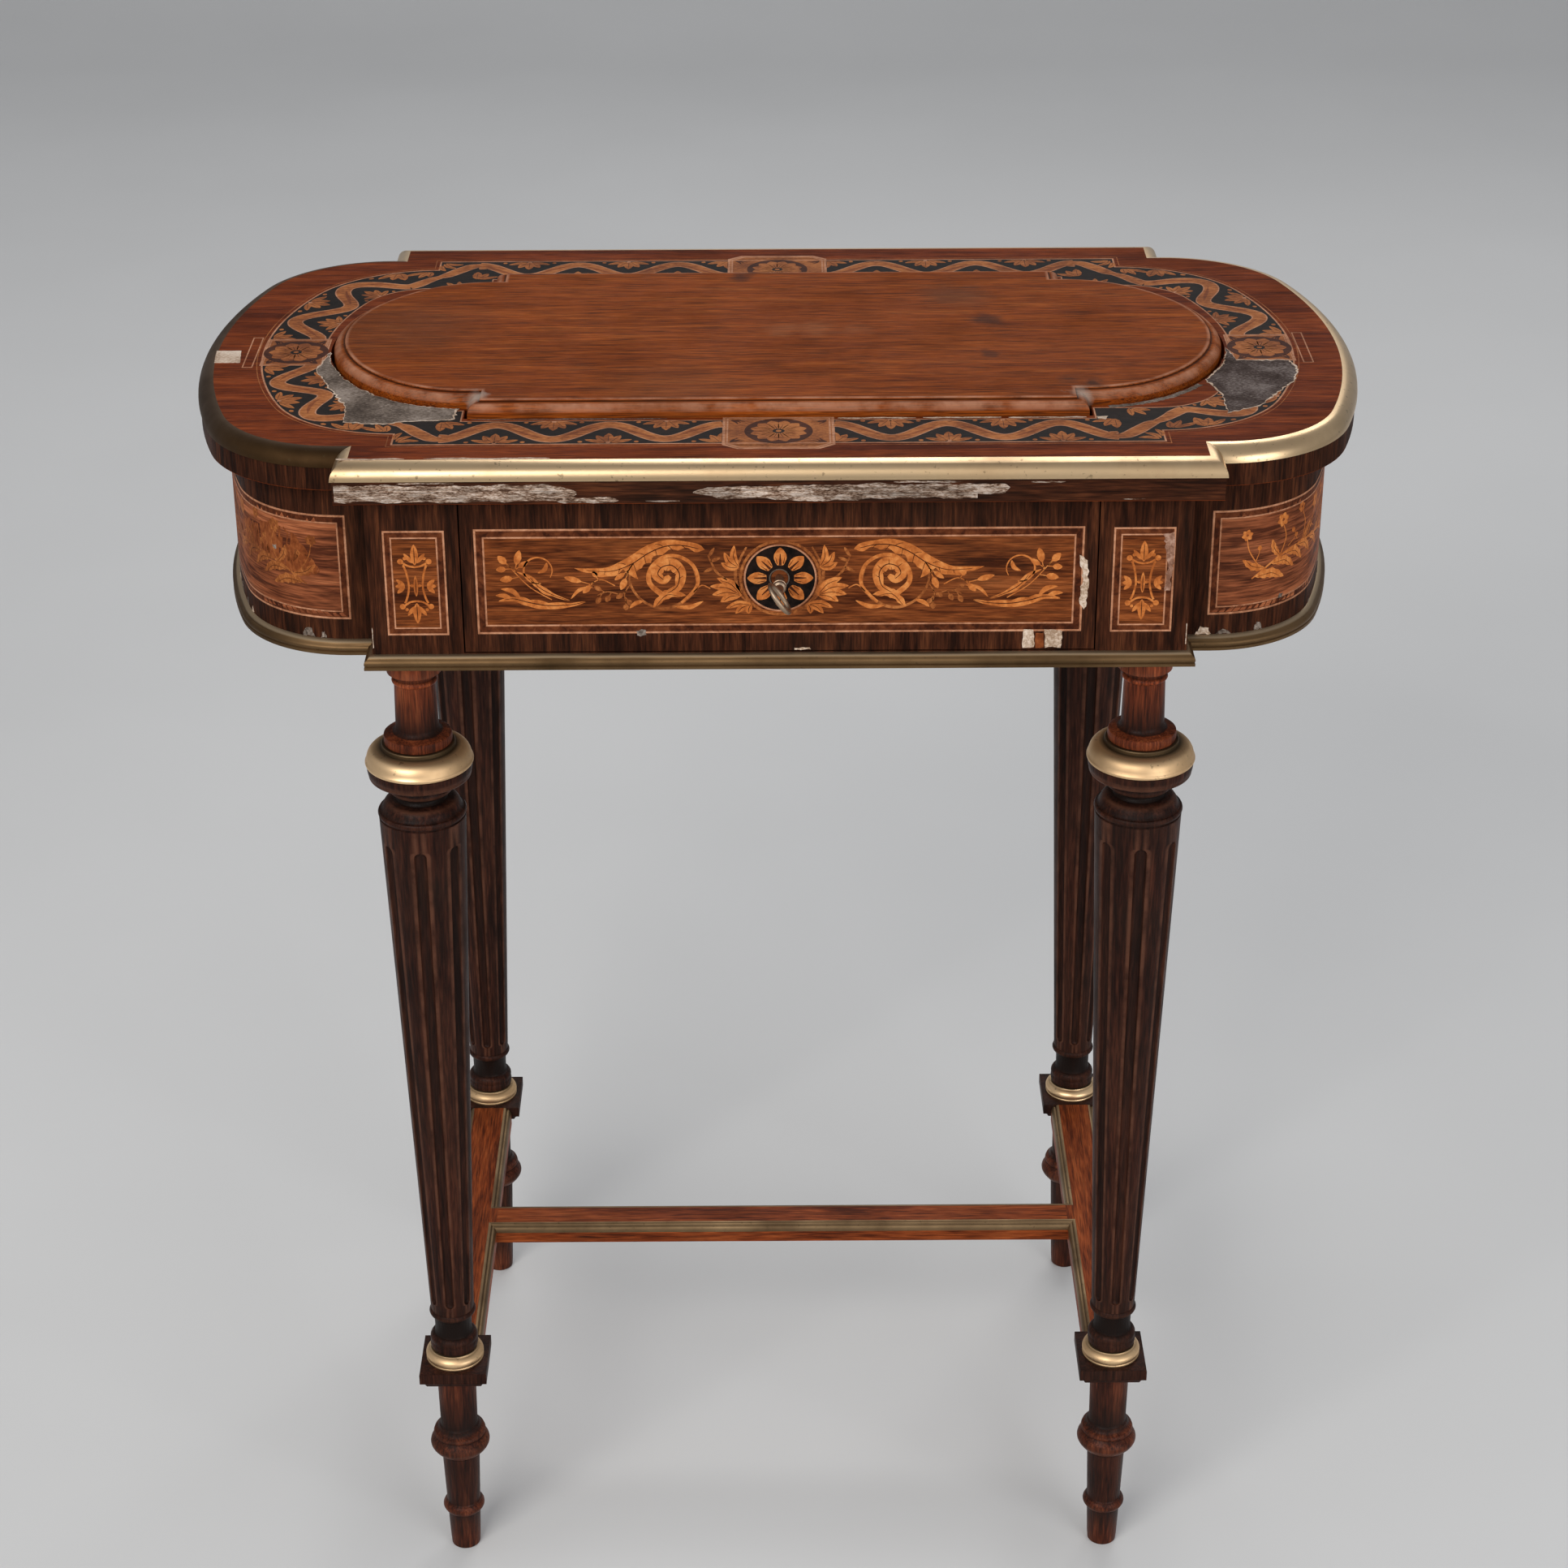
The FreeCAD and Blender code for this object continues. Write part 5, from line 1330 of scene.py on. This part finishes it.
for side, work in ends.items():
    for i in range(26):
        s = chance.uniform(4, end_track[side].length - 4)
        long, high = chance.uniform(2, 13), chance.uniform(1, 4.4)
        patch = [(s, foot), (s + long, foot), (s + long * 0.8, foot + high),
                 (s + long * 0.3, foot + high * 1.3)]
        work.ragged("bare" if i % 3 else "pale_bare", patch, 0.5, step=1.6)
    for i in range(7):
        s, y = chance.uniform(10, end_track[side].length - 10), chance.uniform(-34, 28)
        work.ragged("bare", [(s, y), (s + 2.6, y - 0.4), (s + 3.2, y + 1.6), (s + 0.6, y + 2)], 0.5,
                    step=1.4)

drawer.disc("iron", (0, 0), 5.5, 0.4, 40, 4.85)
drawer.disc("ebony", (0, 0), 6.6, 0.12, 40, 4.9)
for work in (drawer, posts, *ends.values()):
    work.made()

# The edge band of the round ends, its grain upright.
for side in ("left", "right", "back"):
    rings = [quarter(top_plan, side, inset, z) for inset, z in ((0.97, 718.2), (0.97, 730.8), (1.4, 730.8),
                                                                (1.4, 718.2))]
    shell = Shell().across(rings)
    shell.made(f"edge_band_{side}", "table", "veneered_top", paints["frieze"], sharp=40)

# The key.
key_turn = math.radians(35)


def key_point(across, along, up):
    """A point of the key, turned to its rest angle and set on the lock's axis."""
    return (across * math.cos(key_turn) - up * math.sin(key_turn), along,
            panel_z + across * math.sin(key_turn) + up * math.cos(key_turn))


shell = Shell()
shank = [(-162, 2.35), (-177.6, 2.35), (-178, 3.1), (-178.6, 3.65), (-179.6, 3.7), (-180, 3), (-180.4, 3.6),
         (-181.4, 3.65), (-182, 3), (-182.4, 2.3), (-184.4, 2.2), (-186, 1.9), (-188.4, 2.1), (-189.6, 1.2)]
shell.loft([[key_point(r * math.cos(a), y, r * math.sin(a)) for a in turns(24)] for y, r in shank],
           caps=True)
rings = []
bow_y, bow_up, bow_middle = 7, 9, -196
for turn in turns(40):
    wire = 1.5 - 0.35 * math.cos(turn) ** 2
    out_y, out_z = math.sin(turn), math.cos(turn)
    rings.append([key_point(wire * math.sin(a), bow_middle + (bow_y + wire * math.cos(a)) * out_y,
                            (bow_up + wire * math.cos(a)) * out_z) for a in turns(24)[::2]])
shell.loft(rings, back=True)
shell.loft([[key_point(x, y, z) for x, y in ((-0.8, -165.5), (0.8, -165.5), (0.8, -162), (-0.8, -162))]
            for z in (1.5, 4.2)], caps=True)
shell.made("key_wire_bow", "key", "iron", paints["bronze"], stands_for=["key"], sharp=50)

# CAD nodes that stay.
node_paints = {
    "corner_post": "frieze", "back_apron": "frieze", "front_rail": "frieze", "drawer_front": "frieze",
    "drawer_runner": "carcase", "drawer_stops": "carcase", "drawer_side": "carcase",
    "drawer_back": "carcase",
    "drawer_bottom": "carcase", "well": "carcase", "cross_stretcher": "rail", "side_stretcher": "side_rail",
    "mirror_frame": "lid_edge", "mirror_glass": "mirror", "hinge": "brass_low", "lock_case": "brass_low",
    "lock_bolt": "iron", "strike_plate": "brass_low", "key": "iron",
}
for name, node in frame["nodes"].items():
    if node.hide_render:
        continue
    paint = next((paints[key] for start, key in node_paints.items() if name.startswith(start)), None)
    if paint:
        for index in range(len(node.data.materials)):
            node.data.materials[index] = paint
        if not node.data.materials:
            node.data.materials.append(paint)

# Floor, light and camera.
floor_paint = Paint("floor_pale", roughness=0.75)
cloud = floor_paint.noise(floor_paint.place, 1.3, 3)
floor_paint.finish(floor_paint.ramp(cloud, [(0.3, (0.6, 0.6, 0.595)), (0.7, (0.64, 0.64, 0.635))]))
mesh = bpy.data.meshes.new("floor")
bend = [(-7, 0), (3.4, 0)] + [(3.4 + 1.2 * math.sin(math.radians(a)), 1.2 - 1.2 * math.cos(math.radians(a)))
                                   for a in range(10, 91, 10)] + [(4.6, 4.5)]
points = [(x, y, z) for y, z in bend for x in (-9, 9)]
mesh.from_pydata(points, [], [(2 * i, 2 * i + 1, 2 * i + 3, 2 * i + 2) for i in range(len(bend) - 1)])
mesh.shade_smooth()
mesh.materials.append(floor_paint.mat)
floor = placed("floor", mesh)

air = bpy.data.worlds.new("studio")
bpy.context.scene.world = air
air.use_nodes = True
background = air.node_tree.nodes["Background"]
background.inputs["Color"].default_value = (0.93, 0.95, 1, 1)
background.inputs["Strength"].default_value = 0.42


def lamp(name, place, aim, size, power, colour=(1, 1, 1)):
    data = bpy.data.lights.new(name, "AREA")
    data.shape, data.size, data.size_y = "RECTANGLE", *size
    data.energy, data.color = power, colour
    made = placed(name, data)
    made.location = place
    made.rotation_mode = "QUATERNION"
    made.rotation_quaternion = (Vector(aim) - Vector(place)).to_track_quat("-Z", "Y")


lamp("key_light", (-1.3, -2.5, 2.3), (0, 0, 0.5), (1.8, 1.4), 62, (1, 0.98, 0.95))
lamp("fill_light", (2, -2.6, 1.1), (0, 0, 0.45), (1.8, 1.6), 36, (0.98, 0.99, 1))
lamp("back_light", (0.4, 2.2, 2.6), (0, 0, 0.7), (2, 1), 30)

camera_data = bpy.data.cameras.new("camera")
camera = placed("camera", camera_data)
bpy.context.scene.camera = camera
camera_data.sensor_width = 36
camera_data.lens = 76.09
camera_place = (-0.00224, -1.78478, 1.37948)
pitch, yaw, roll = (math.radians(a) for a in (27.15, 0.15, -0.24))
ahead = Vector((math.sin(yaw) * math.cos(pitch), math.cos(yaw) * math.cos(pitch), -math.sin(pitch)))
right = Vector((math.cos(yaw), -math.sin(yaw), 0))
up = right.cross(ahead)
across = right * math.cos(roll) + up * math.sin(roll)
above = up * math.cos(roll) - right * math.sin(roll)
pose = camera.matrix_world.copy()
for row in range(3):
    pose[row][0], pose[row][1], pose[row][2] = across[row], above[row], -ahead[row]
    pose[row][3] = camera_place[row]
camera.matrix_world = pose
bpy.context.scene.view_settings.view_transform = "Standard"
